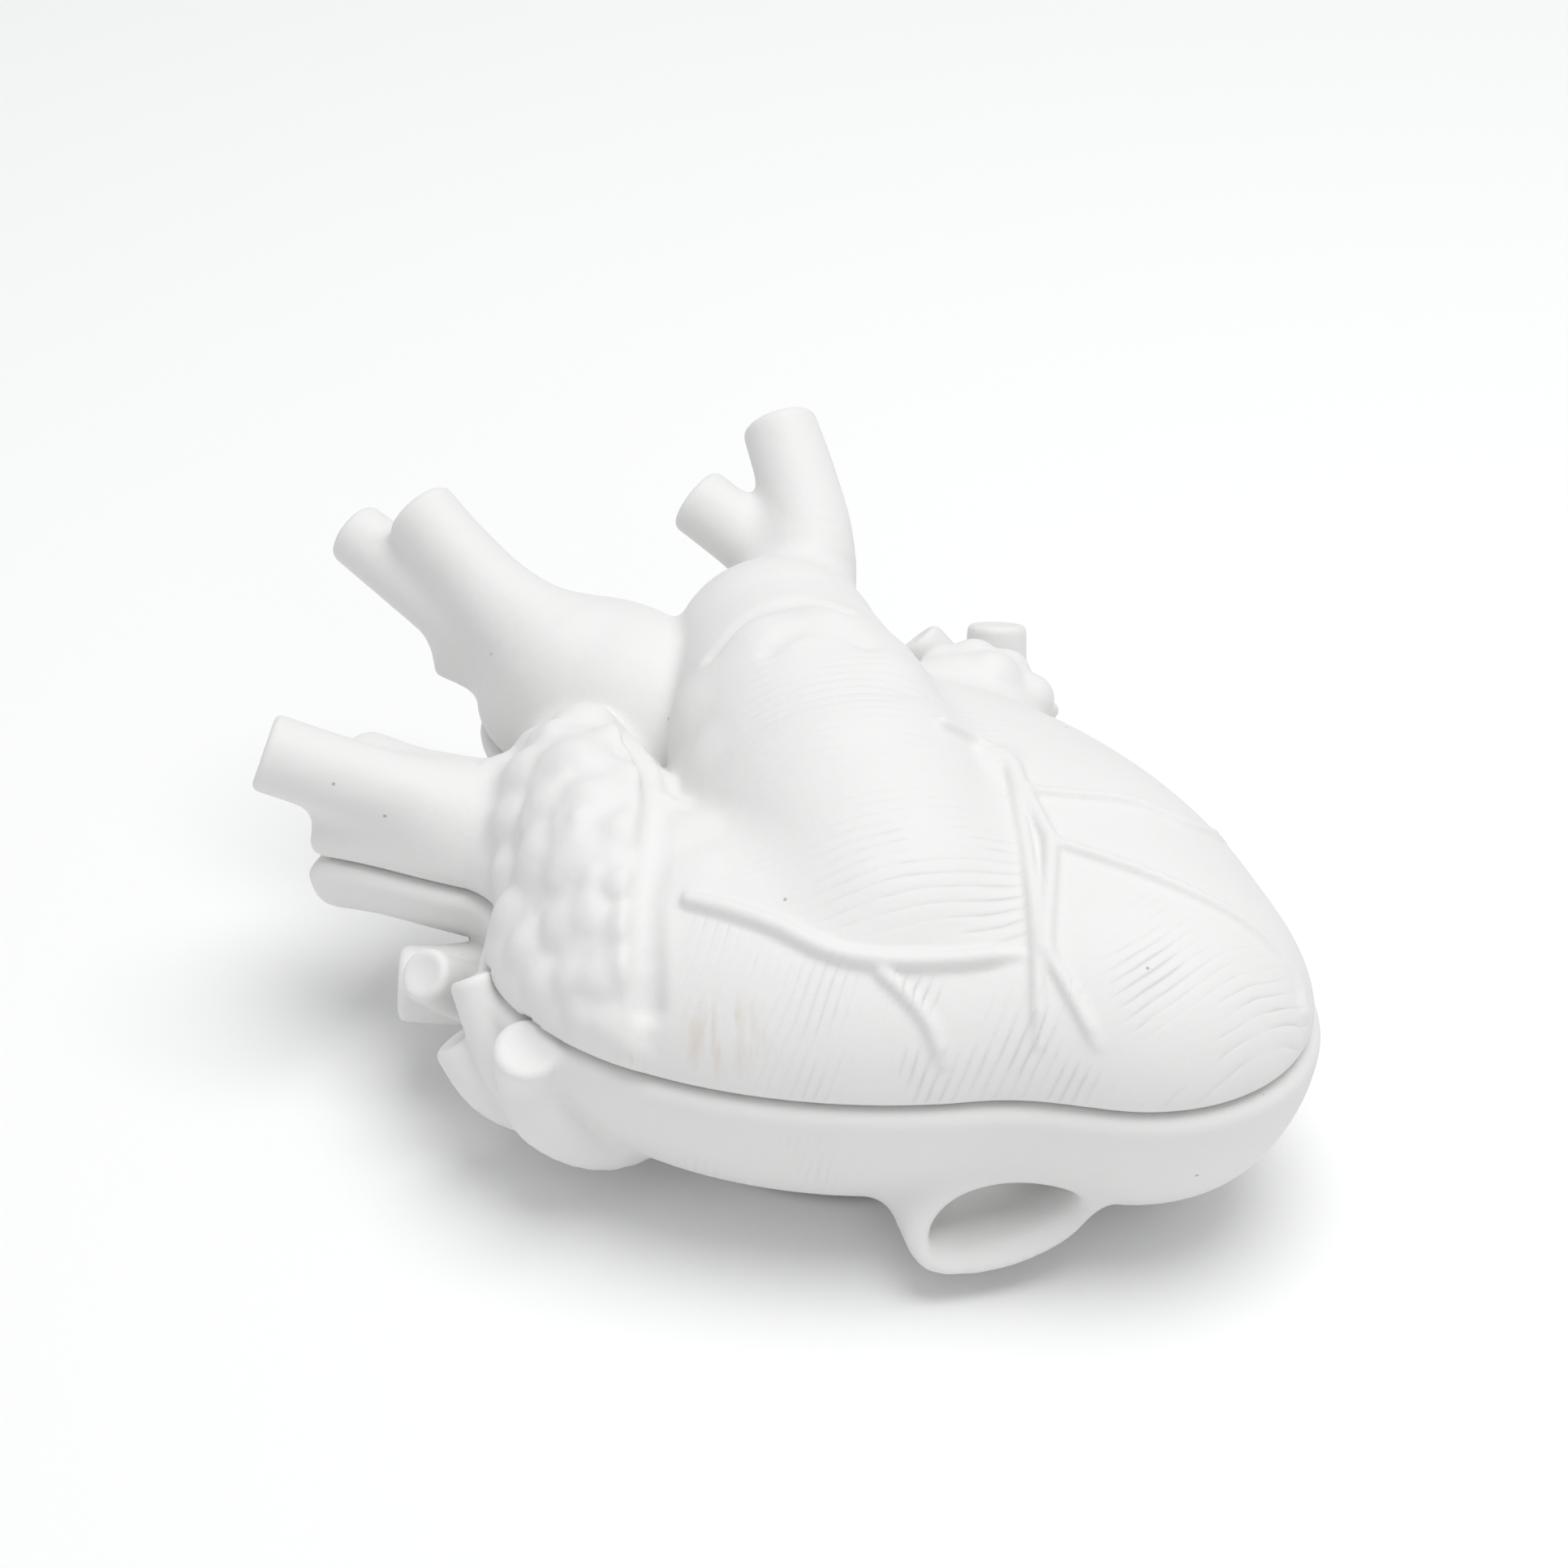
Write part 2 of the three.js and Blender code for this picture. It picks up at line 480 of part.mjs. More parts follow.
function pinCylinder() {
  const [x0, x1] = CYLINDER.x;
  return cut(
    bar(0, AXIS_Z, x0, x1, CYLINDER.radius, 40),
    bar(0, AXIS_Z, x0 + 1, x1 + 1, CYLINDER.radius - CYLINDER.wall, 32),
    bar(0, AXIS_Z, 0, 50, ARBOR.radius + GAP, 16),
  );
}

function comb() {
  const under = AXIS_Z - COMB.thick / 2;
  const pitch = (COMB_X[1] - COMB_X[0]) / COMB.teeth;
  let plate = add(
    box(...COMB_X, COMB.back, COMB.tip, under, under + COMB.thick),
    box(...COMB_X, COMB.back, COMB.root, under, under + COMB.rib),
  );
  for (let i = 1; i < COMB.teeth; i++) {
    const x = COMB_X[0] + i * pitch;
    plate = plate.subtract(box(x - 0.13, x + 0.13, COMB.root + 0.4 + i * 0.2, 0, 0, 30));
  }
  return cut(plate, ...COMB_SCREWS.map(([x, y]) => rod(x, y, 0, 30, 1.2, 12)));
}

function governorFrame() {
  const [x0, x1] = [FRAME.near[0], FRAME.far[1]];
  const base = ON_BED;
  const floor = box(x0, x1, ...FRAME.y, base, base + FRAME.floor);
  const near = box(...FRAME.near, FRAME.y[0], 7.8, base, AXIS_Z + 3);
  const nearTop = box(x0 - 1, x1, 4, 9, GOVERNOR.z + 2.6, 40); // clears the wheel's upper part
  const far = box(...FRAME.far, GOVERNOR.y - 2.5, GOVERNOR.y + 2.5, base, GOVERNOR.z + 2.5);
  const post = box(38.4, 41.6, FRAME.y[1] - 1.2, FRAME.y[1], base, 25.4);
  const arm = box(38.4, 41.6, WORM.y - 2, FRAME.y[1], 24.4, 25.4);
  return cut(
    add(floor, near.subtract(nearTop), far, post, arm),
    bar(0, AXIS_Z, 30, 40, ARBOR.hole, 16),
    bar(GOVERNOR.y, GOVERNOR.z, 30, 50, GOVERNOR.hole, 16),
    rod(WORM.x, WORM.y, 0, 40, SPINDLE.hole, 12),
    ...FRAME_SCREWS.map(([x, y]) => rod(x, y, 0, 10, SMALL_SCREW.hole, 12)),
  );
}

function fan() {
  const hub = rod(WORM.x, WORM.y, ...FAN.z, 1.7, 16);
  const half = FAN.thick / 2;
  const blades = box(
    WORM.x - FAN.reach, WORM.x + FAN.reach, WORM.y - half, WORM.y + half, FAN.z[0] + 0.3, FAN.z[1] - 0.3,
  );
  return cut(add(hub, blades), rod(WORM.x, WORM.y, 0, 40, SPINDLE.radius + GAP, 12));
}

function stopRod() {
  return add(rod(STOP.x, STOP.y, ...STOP.z, STOP.radius, 14), rod(STOP.x, STOP.y, ...STOP.collar, 2.4, 16));
}

function stopArm() {
  const z = [21, 22.4];
  const tip = WORM.x - FAN.reach - 0.6;
  return cut(
    add(rod(STOP.x, STOP.y, ...z, 2.3, 18), box(STOP.x + 1.5, tip, STOP.y - 2.3, STOP.y - 0.9, ...z)),
    rod(STOP.x, STOP.y, 0, 40, STOP.radius + GAP, 14),
  );
}

const CONTACT = Math.atan2(GOVERNOR.z - AXIS_Z, GOVERNOR.y); // from the cylinder's axis to the governor's
const gears = {
  pinion: () =>
    gearAcrossX(gearShape(PINION, ARBOR.radius + GAP, -Math.PI / 2), 0, AXIS_Z, PINION.x),
  wheel: () => gearAcrossX(gearShape(WHEEL, ARBOR.radius + GAP, CONTACT), 0, AXIS_Z, WHEEL.x),
  leaf: () =>
    gearAcrossX(
      gearShape(LEAF, GOVERNOR.radius + GAP, CONTACT + Math.PI + Math.PI / LEAF.teeth),
      GOVERNOR.y, GOVERNOR.z, LEAF.x,
    ),
  wormWheel: () =>
    gearAcrossX(
      gearShape(WORM_WHEEL, GOVERNOR.radius + GAP, Math.PI / WORM_WHEEL.teeth),
      GOVERNOR.y, GOVERNOR.z, WORM_WHEEL.x,
    ),
};

// ---- Assembly ---------------------------------------------------------------------------------------
const LOOKS = {
  porcelain: [0xecebe7, 0.75, 0],
  zinc: [0xa9abad, 0.45, 0.9],
  brass: [0xc9a250, 0.35, 1],
  steel: [0xb9bcc0, 0.3, 1],
  springSteel: [0x6a7078, 0.35, 1],
  felt: [0x8f8f8b, 0.95, 0],
  nylon: [0xe9e4d6, 0.5, 0],
};

const group = new THREE.Group();
group.name = "wind_up_music_box";

function place(name, manifold, look) {
  const [color, roughness, metalness] = LOOKS[look];
  const moved = manifold.translate([SHIFT.x, SHIFT.y, 0]);
  const mesh = new THREE.Mesh(
    geometryOf(moved),
    new THREE.MeshStandardMaterial({ color, roughness, metalness }),
  );
  mesh.name = name;
  group.add(mesh);
}
const placeInside = (name, manifold, look) =>
  place(name, manifold.translate([KEY_AXIS.x, KEY_AXIS.y, BED_BOTTOM]), look);

place("base_shell", baseShell(), "porcelain");
place("lid_shell", lidShell(), "porcelain");
for (let i = 0; i < FOOT_PAD.count; i++) {
  const a = (i / FOOT_PAD.count) * 2 * Math.PI + FOOT_PAD.firstAngle;
  const r = WELL.radius + WELL.wall / 2;
  const spot = [KEY_AXIS.x + r * Math.cos(a), KEY_AXIS.y + r * Math.sin(a)];
  place(`foot_pad_${i + 1}`, rod(...spot, 0, FOOT_PAD.thickness, FOOT_PAD.radius, 20), "felt");
}
placeInside("bed_gasket", bedGasket(), "felt");
placeInside("bedplate", bedplate(), "zinc");
SCREW_SPOTS.forEach((spot, i) => placeInside(`mounting_screw_${i + 1}`, mountingScrew(spot), "steel"));
placeInside("spring_housing", springBox(), "steel");
placeInside("mainspring", mainspring(), "springSteel");
placeInside("winding_shaft", windingShaft(), "steel");
placeInside("winding_key", windingKey(), "brass");
placeInside("drive_gear", crownWheel(), "brass");
placeInside("clutch_spring", coil(0, 0, 15.95, 17.05, 2.35, 0.2, 2), "springSteel");
placeInside("cylinder_bearing", bearing(), "zinc");
placeInside("bearing_screw", smallScrew(BEARING.screw, ON_BED + 1), "steel");
placeInside("cylinder_arbor", bar(0, AXIS_Z, ...ARBOR.x, ARBOR.radius, 16), "steel");
placeInside("cylinder_pinion", gears.pinion(), "brass");
placeInside("pin_cylinder", pinCylinder(), "brass");
placeInside("cylinder_wheel", gears.wheel(), "brass");
placeInside("tone_comb", comb(), "steel");
COMB_SCREWS.forEach((spot, i) => placeInside(`comb_screw_${i + 1}`, combScrew(spot), "steel"));
placeInside("governor_frame", governorFrame(), "zinc");
FRAME_SCREWS.forEach((spot, i) =>
  placeInside(`governor_screw_${i + 1}`, smallScrew(spot, ON_BED + FRAME.floor), "steel"),
);
placeInside("governor_arbor", bar(GOVERNOR.y, GOVERNOR.z, ...GOVERNOR.x, GOVERNOR.radius, 14), "steel");
placeInside("governor_pinion", gears.leaf(), "brass");
placeInside("worm_wheel", gears.wormWheel(), "brass");
placeInside("worm_shaft", worm(), "steel");
placeInside("air_brake", fan(), "nylon");
placeInside("stop_guide", rod(STOP.x, STOP.y, ...STOP.guide, 3, 20, STOP.hole), "brass");
placeInside("stop_rod", stopRod(), "steel");
placeInside("stop_arm", stopArm(), "steel");
placeInside("stop_spring", coil(STOP.x, STOP.y, STOP.guide[1] + 0.6, STOP.collar[0] - 0.6, 1.9, 0.25, 5), "springSteel");

export default group;
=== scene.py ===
# A wind-up music box in white bisque porcelain, shaped as an anatomical heart lying on its back.
# The two shells are sculpted as signed distance fields and meshed here. Everything in the fields is in
# millimetres from the modelling centre that the frame was laid out from, and SHIFT carries it to the frame.
import json
import math

import bmesh
import bpy
import numpy as np
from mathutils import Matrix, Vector


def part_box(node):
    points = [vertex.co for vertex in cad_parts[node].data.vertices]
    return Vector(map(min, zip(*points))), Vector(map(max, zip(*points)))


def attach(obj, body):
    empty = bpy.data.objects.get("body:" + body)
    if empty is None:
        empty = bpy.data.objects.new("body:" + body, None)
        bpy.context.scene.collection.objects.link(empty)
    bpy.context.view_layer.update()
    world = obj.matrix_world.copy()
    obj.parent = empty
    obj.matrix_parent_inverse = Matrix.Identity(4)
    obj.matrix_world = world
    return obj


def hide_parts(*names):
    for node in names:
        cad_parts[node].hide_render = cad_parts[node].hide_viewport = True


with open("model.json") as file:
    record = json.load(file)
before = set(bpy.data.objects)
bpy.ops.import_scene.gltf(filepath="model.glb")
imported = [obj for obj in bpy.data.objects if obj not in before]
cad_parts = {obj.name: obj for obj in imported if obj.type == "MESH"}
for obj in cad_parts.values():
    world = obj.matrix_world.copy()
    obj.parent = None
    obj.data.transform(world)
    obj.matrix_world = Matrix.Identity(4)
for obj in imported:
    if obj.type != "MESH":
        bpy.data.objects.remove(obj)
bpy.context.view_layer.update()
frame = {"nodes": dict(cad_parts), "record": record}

MM = 0.001
SHIFT = np.array([3.46, -3.67, 0.0])
PARTING = 36.0
GAP = 0.3
WALL = 4.5
RIM_STEP = 1.2
RIM_ROUNDING = 3.4
KEY_X, KEY_Y = 9.0, -17.0
BED_BOTTOM = 19.2

# ---- Distances --------------------------------------------------------------------------------------
# Lobes: centre, half lengths (long, across, up, down), turn about Z, blend with the lobes before.
LOBES = [
    ((30, -8, 36), (64, 37, 27, 36), -47, 0),  # left ventricle
    ((53, -42, 36), (31, 27.5, 22, 33), -22, 8),  # apex
    ((8, -32, 36), (60, 36, 26, 36), -6, 8),  # right ventricle
    ((-32, 36, 42), (27, 19, 20, 24), -35, 5),  # aortic root
    ((29, 32, 42), (15, 12, 13, 14), 10, 4),  # left auricle
]
RIGHT_ATRIUM = ((-32, -15, 38), (43, 18, 25, 33), -76, 4)
OUTFLOW = [(16, -30, 38, 30), (9, -8, 45, 28), (2, 14, 50, 24), (-3, 36, 52, 19)]
CAVA = [(-40, 0, 36, 15.5), (-56, 5, 36, 14.6), (-68, 9.5, 36, 14.2), (-77.5, 13.5, 36, 15)]
LID_VESSELS = [
    [(-58, 2, 43, 8), (-70, 3, 48, 7.2), (-80, 4, 51.5, 6.8), (-90, 5, 55, 6.8)],
    [(-42, 38, 52, 11), (-52, 46, 58, 8), (-60, 53, 64, 6.8), (-67, 60, 69, 6.6)],
    [(-42, 44, 47, 9), (-55, 49, 50, 7.4), (-64, 54, 54.5, 6.4), (-79.5, 66, 61, 5.8)],
    [(-42, 46, 43, 6.4), (-54, 50, 43.5, 6), (-63, 53, 45, 5.4)],
    [(1, 46, 54, 9), (2.5, 57, 63, 8.0), (0.5, 67, 70, 7.2), (-3, 77, 77, 6.7)],
    [(1, 55, 58, 8), (-8, 61, 62, 6.4), (-18, 67.5, 67, 6.2)],
    [(1, 52, 54, 7), (-2, 66, 55, 5.6), (-6, 79, 56, 5)],
]
BASE_VESSELS = [
    [(34, 38, 26, 8), (36, 52, 31, 6), (36.5, 60, 45, 5.3)],
    [(34, 44, 26, 8), (29, 55, 33, 6), (21.5, 60, 41.5, 5)],
    [(34, 38, 26, 8), (39, 49, 29, 6), (44, 53, 35, 5)],
    [
        (-20, -36, 16, 9), (-31, -45, 14.5, 7.4), (-40, -48, 20, 6.6), (-43, -48, 28, 6),
        (-43.5, -51, 35.5, 5.6),
    ],
    [(-30, -40, 15, 7), (-42, -39, 15, 6.2), (-50, -38, 18, 5.6), (-55.9, -35.2, 25.2, 4.9)],
    [(-42, -44, 19, 5.5), (-47, -41.5, 24, 4.8), (-50.3, -38, 30, 4.3), (-53.2, -33.3, 36.5, 4.1)],
    [(-38, -20, 20, 7), (-50, -20, 21, 5.6), (-57, -20.5, 24, 5), (-62.2, -25.5, 31, 4.6)],
    [(-38, -12, 20, 8.5), (-52, -13, 19.5, 7.4), (-60, -13.5, 19.5, 6.8), (-67.4, -13.5, 19.8, 6.4)],
]
# Coronary vessels run over the lid: plan points and radius; their height comes from the surface.
CORONARIES = [
    (1.1, [(24, -7), (30, -5.5), (35, -10)]),
    (1.0, [(36, -12), (36, -17), (37.5, -39), (38, -52), (38, -64)]),
    (1.2, [(35, -10), (40, -27), (41, -32), (39.5, -50), (39.5, -53)]),
    (0.95, [(39.5, -53), (43, -59), (47, -65)]),
    (0.8, [(37.5, -17.5), (46, -17.5), (56, -16), (64, -17), (71, -13.5)]),
    (0.95, [(41, -30.5), (49, -33.5), (62, -39), (73, -43), (80, -47.5), (81.5, -53)]),
    (1.4, [(-17, -42), (-5, -48), (6, -54), (18, -55.5), (35, -53)]),
    (1.1, [(13.5, -57), (20, -62), (23, -66)]),
]
# Swellings are balls sunk into the surface: a point near it, the radius, how far the ball stands out.
ATRIUM_LOBULES = [
    ((-35, 15, 55), 6.5, 2.6), ((-30, 4, 59), 4, 1.8), ((-26, -1, 58), 4, 1.2),
    ((-26, -11, 61), 4.5, 1.2), ((-28, -27, 62), 4.4, 1.5), ((-38, -5, 62), 6.5, 1.5),
    ((-42, -15, 59), 6.5, 1.2), ((-46, -1, 55), 6.5, 1.8), ((-49, -10, 51), 6, 1.6),
    ((-50, -17, 46), 5.5, 1.5), ((-44, -24, 54), 6.5, 1.0), ((-37, -30, 59), 6.5, 1.1),
    ((-34, -18, 62), 6, 1.3), ((-28, -38, 59), 4.2, 1.5), ((-27, -45, 56), 4.2, 1.5),
    ((-27, -51, 52), 4.2, 1.4), ((-34, -41, 55), 4.6, 1.1), ((-39, -40, 52), 4.6, 1.2),
    ((-44, -38, 46), 5, 1.5), ((-48, -28, 46), 5.5, 1.5), ((-41, -45, 44), 4.6, 1.3),
    ((-36, -48, 47), 4.4, 1.2), ((-32, -51, 49), 4.2, 1.2), ((-34, -53, 43), 4.2, 1.3),
    ((-30, -56, 43), 4, 1.3), ((-26, -58, 41), 3.6, 1.2),
]
AURICLE_LOBES = [
    ((18, 44, 50), 5, 3.0), ((25, 46, 52), 4.6, 2.8), ((32, 44, 53), 5, 3.0),
    ((39, 41, 51), 4.6, 2.8), ((45, 35, 48), 4.6, 2.6), ((36, 34, 55), 5, 1.8),
]
# Pads of fat along the groove beside the right atrium, the knot at the top of the front groove, and the
# swellings at the root of the pulmonary trunk.
PADS = [
    ((-20, 8, 61), 8, 0.6), ((-19, -5, 62), 8, 0.5), ((-17, -22, 61), 8, 0.5), ((-17, -36, 60), 8, 0.5),
    ((34, -9, 64), 4.6, 1.3), ((17, 8, 69), 9, 1.2), ((7, 21, 72), 10, 0.9), ((-7, 17, 71), 8, 0.7),
]
# Valleys and folds: the depth, the radius of the valley's floor, and plan points.
FOLDS = [
    (1.1, 3.0, [(-28.5, 8), (-24.5, -2), (-22.5, -14), (-22.7, -28), (-24, -42), (-24, -57)]),
    (0.45, 2.2, [(-15, 16), (-8, 22), (2, 25), (9, 22)]),
    (0.3, 2.2, [(-5, 9), (2, 14), (12, 12)]),
]


def smin(a, b, k):
    if k <= 0:
        return np.minimum(a, b)
    h = np.maximum(k - np.abs(a - b), 0) / k
    return np.minimum(a, b) - h * h * k / 4


def smax(a, b, k):
    return -smin(-a, -b, k)


def ellipsoid(p, centre, half, turn):
    t = math.radians(turn)
    x, y, z = (p[:, i] - centre[i] for i in range(3))
    u = x * math.cos(t) + y * math.sin(t)
    v = y * math.cos(t) - x * math.sin(t)
    w = np.where(z < 0, half[3], half[2]).astype(np.float32)
    k0 = np.sqrt((u / half[0]) ** 2 + (v / half[1]) ** 2 + (z / w) ** 2) + 1e-6
    k1 = np.sqrt((u / half[0] ** 2) ** 2 + (v / half[1] ** 2) ** 2 + (z / w**2) ** 2) + 1e-6
    return k0 * (k0 - 1) / k1


def smooth_run(points, steps=5):
    """Catmull-Rom through rows of numbers, such as (x, y, z, radius)."""
    q = np.array(points, float)
    q = np.vstack([2 * q[0] - q[1], q, 2 * q[-1] - q[-2]])
    out = []
    for i in range(1, len(q) - 2):
        a, b, c, d = q[i - 1 : i + 3]
        for t in np.linspace(0, 1, steps, endpoint=False):
            bend = (2 * a - 5 * b + 4 * c - d) * t**2
            twist = (3 * b - 3 * c + d - a) * t**3
            out.append(0.5 * (2 * b + (c - a) * t + bend + twist))
    out.append(q[-2])
    return np.array(out, np.float32)


def run_distance(p, run):
    best = np.full(len(p), 1e3, np.float32)
    for a, b in zip(run[:-1], run[1:]):
        ab = b[:3] - a[:3]
        ap = p - a[:3]
        t = np.clip(ap @ ab / (ab @ ab), 0, 1)
        d = np.linalg.norm(ap - t[:, None] * ab, axis=1) - (a[3] + (b[3] - a[3]) * t)
        best = np.minimum(best, d)
    return best


def near(p, run, margin):
    lo = run[:, :3].min(0) - run[:, 3].max() - margin
    hi = run[:, :3].max(0) + run[:, 3].max() + margin
    return np.all((p > lo) & (p < hi), axis=1)


def add_vessel(d, p, points, blend, dish=0.5):
    """Blends a tube into d; its far end is cut flat, with a rounded edge and a slight dish."""
    run = smooth_run(points)
    sel = near(p, run, 8)
    if not sel.any():
        return d
    q = p[sel]
    tube = run_distance(q, run)
    end = run[-1][:3]
    along = end - run[-2][:3]
    along /= np.linalg.norm(along)
    height = (q - end) @ along
    radial = np.linalg.norm(q - end - height[:, None] * along, axis=1)
    hollow = dish * np.clip(1 - (radial / (0.75 * run[-1][3])) ** 2, 0, 1)
    tube = smax(tube, height + hollow, 1.5)
    d = d.copy()
    d[sel] = smin(d[sel], tube, blend)
    return d


def heart(p, with_atrium=True):
    d = None
    for centre, half, turn, blend in LOBES:
        e = ellipsoid(p, centre, half, turn)
        d = e if d is None else smin(d, e, blend)
    d = smin(d, run_distance(p, np.array(OUTFLOW, np.float32)), 3)
    if with_atrium:
        centre, half, turn, blend = RIGHT_ATRIUM
        d = smin(d, ellipsoid(p, centre, half, turn), blend)
    return smax(d, 3.6 - p[:, 2], 14)


def soft_noise(p, size, seed):
    """Smooth noise between -1 and 1 on a lattice of the given size."""
    q = p / size
    base = np.floor(q).astype(np.int64)
    t = q - base
    t = t * t * (3 - 2 * t)
    total = np.zeros(len(p))
    for corner in np.ndindex(2, 2, 2):
        cell = base + np.array(corner)
        h = (cell @ np.array([73856093, 19349663, 83492791]) + seed * 2654435761) & 0xFFFFFFFF
        h = ((h ^ (h >> 15)) * 2246822519) & 0xFFFFFFFF
        h = ((h ^ (h >> 13)) * 3266489917) & 0xFFFFFFFF
        weight = np.prod(np.where(np.array(corner) == 1, t, 1 - t), axis=1)
        total += weight * ((h >> 8 & 0xFFFF) / 32767.5 - 1)
    return total


def sunk_ball(point, radius, proud):
    """The centre of a ball that stands `proud` out of the plain heart near the point."""
    q = np.array([point], np.float32)
    for _ in range(4):
        d = heart(q)
        slope = np.stack([heart(q + e) - d for e in np.eye(3, dtype=np.float32) * 0.2], axis=1) / 0.2
        normal = slope / np.linalg.norm(slope, axis=1, keepdims=True)
        q = q - d[:, None] * normal
    return (q - (radius - proud) * normal)[0].astype(np.float32)


def add_balls(d, p, balls, blend):
    for point, radius, proud in balls:
        key = (point, radius)
        if key not in _centres:
            _centres[key] = sunk_ball(point, radius, proud)
        centre = _centres[key]
        sel = np.all(np.abs(p - centre) < radius + 4, axis=1)
        if sel.any():
            d[sel] = smin(d[sel], np.linalg.norm(p[sel] - centre, axis=1) - radius, blend)
    return d


_centres = {}


def atrium_mask(p, d_rest):
    centre, half, turn, _ = RIGHT_ATRIUM
    return np.clip((d_rest - ellipsoid(p, centre, half, turn) + 1.0) / 4, 0, 1)


def lid_height(points):
    """The height of the plain lid over each plan point."""
    xy = np.array(points, np.float32)
    lo, hi = np.full(len(xy), 37.0), np.full(len(xy), 95.0)
    for _ in range(26):
        z = (lo + hi) / 2
        inside = heart(np.column_stack([xy, z]).astype(np.float32)) < 0
        lo = np.where(inside, z, lo)
        hi = np.where(inside, hi, z)
    return lo


def uneven_atrium(d, p):
    sel = np.abs(d) < 4
    q = p[sel]
    mask = atrium_mask(q, heart(q, with_atrium=False))
    stretched = q * np.array([1.0, 0.75, 0.75])
    relief = 1.1 * soft_noise(stretched, 6.0, 3) + 0.7 * soft_noise(stretched, 3.0, 5)
    d[sel] -= (relief * mask).astype(np.float32)
    return d


def folds():
    if not _folds:
        for depth, radius, plan in FOLDS:
            run = smooth_run([(x, y, 0.0, radius) for x, y in plan], 4)
            run[:, 2] = lid_height(run[:, :2]) + radius - depth
            _folds.append(run)
    return _folds


_folds = []
_lines = []


def coronary_runs():
    if not _lines:
        for radius, plan in CORONARIES:
            run = smooth_run([(x, y, 0.0, radius) for x, y in plan], 4)
            run[:, 2] = lid_height(run[:, :2]) + 0.35 * radius
            run[-1, 3] *= 0.45
            run[-1, 2] -= 0.6
            _lines.append(run)
    return _lines


def sculpted_lid(p):
    """The lid's outside before it is cut at the parting plane."""
    d = heart(p)
    d = uneven_atrium(d, p)
    d = add_balls(d, p, ATRIUM_LOBULES, 1.8)
    d = add_balls(d, p, AURICLE_LOBES, 1.4)
    d = add_balls(d, p, PADS, 2.5)
    for run in folds():
        sel = near(p, run, 3)
        if sel.any():
            d[sel] = smax(d[sel], -run_distance(p[sel], run), 1.5)
    for run in coronary_runs():
        sel = near(p, run, 4)
        if sel.any():
            d[sel] = smin(d[sel], run_distance(p[sel], run), 1.2)
    return d


def lower_cava(p):
    """The flattened vein at the front: an oval tube with a thick rim, and the hollow of its open mouth."""
    start, end = np.array([27.0, -46, 19]), np.array([33.0, -69.0, 11.6])
    length = np.linalg.norm(end - start)
    along = (end - start) / length
    across = np.array([-along[1], along[0], 0.14])
    across /= np.linalg.norm(across)
    up = np.cross(across, -along)
    q = p - start
    t = np.clip(q @ along / length, 0, 1)
    u, v = q @ across, q @ up
    v = v - 1.6 * t * t * (1 - (u / 17) ** 2)

    def oval(wide, high):
        k = np.sqrt((u / wide) ** 2 + (v / high) ** 2) + 1e-6
        return k * (k - 1) / (np.sqrt((u / wide**2) ** 2 + (v / high**2) ** 2) + 1e-6)

    # The mouth is cut on a slant, so that it faces upward and forward.
    facing = np.array([0.2, -0.87, 0.45])
    facing /= np.linalg.norm(facing)
    out = (p - end) @ facing
    tube = smax(oval(17.5 - 1.5 * t, 12 - 4.9 * t), out, 3.2)
    mouth = smax(oval(12.4, 4.0 - 0.8 * np.clip(u / 12, -1, 1)), -9 - out, 2.5)
    return tube, mouth


def cylinder(p, x, y, radius):
    return np.hypot(p[:, 0] - x, p[:, 1] - y) - radius


def cava_run(grow):
    run = smooth_run(CAVA)
    run[:, 3] += grow
    return run


def cava_tube(p, grow):
    run = cava_run(grow)
    along = run[-1][:3] - run[-2][:3]
    along /= np.linalg.norm(along)
    return smax(run_distance(p, run), (p - run[-1][:3]) @ along, 2.0)


def cava_bore(p):
    run = smooth_run(CAVA[:3])
    run[:, 3] -= WALL
    return run_distance(p, run)


def base_veins(p, grow=0.0):
    d = np.full(len(p), 30.0, np.float32)
    for points in BASE_VESSELS:
        d = add_vessel(d, p, points, 3)
    return d - grow


def lid_field(p):
    core = heart(p)
    d = sculpted_lid(p)
    d = smin(d, cava_tube(p, 0), 5)
    for points in LID_VESSELS:
        d = add_vessel(d, p, points, 4)
    d = np.maximum(d, -base_veins(p, 0.5))
    d = smax(d, PARTING + GAP / 2 - p[:, 2], RIM_ROUNDING)
    bore = smin(core + WALL, cava_bore(p), 3)
    d = smax(d, -bore, 1.0)
    z = p[:, 2]
    lip = np.maximum(np.abs(core + 6.55) - 1.25, z - 39)
    root = np.maximum(np.abs(core + 5.6) - 2.2, np.abs(z - 37.8) - 1.5)
    lip = smin(lip, root, 1.0)
    lip = smax(lip, 32.8 - z, 1.0)
    lip = np.maximum(lip, -cava_bore(p))
    d = smin(d, lip, 0.8)
    lug = smax(cylinder(p, KEY_X + 27, KEY_Y + 15.5, 3), BED_BOTTOM + 28.3 - z, 0.8)
    lug = np.maximum(lug, core + 2)
    return smin(d, lug, 2.0)


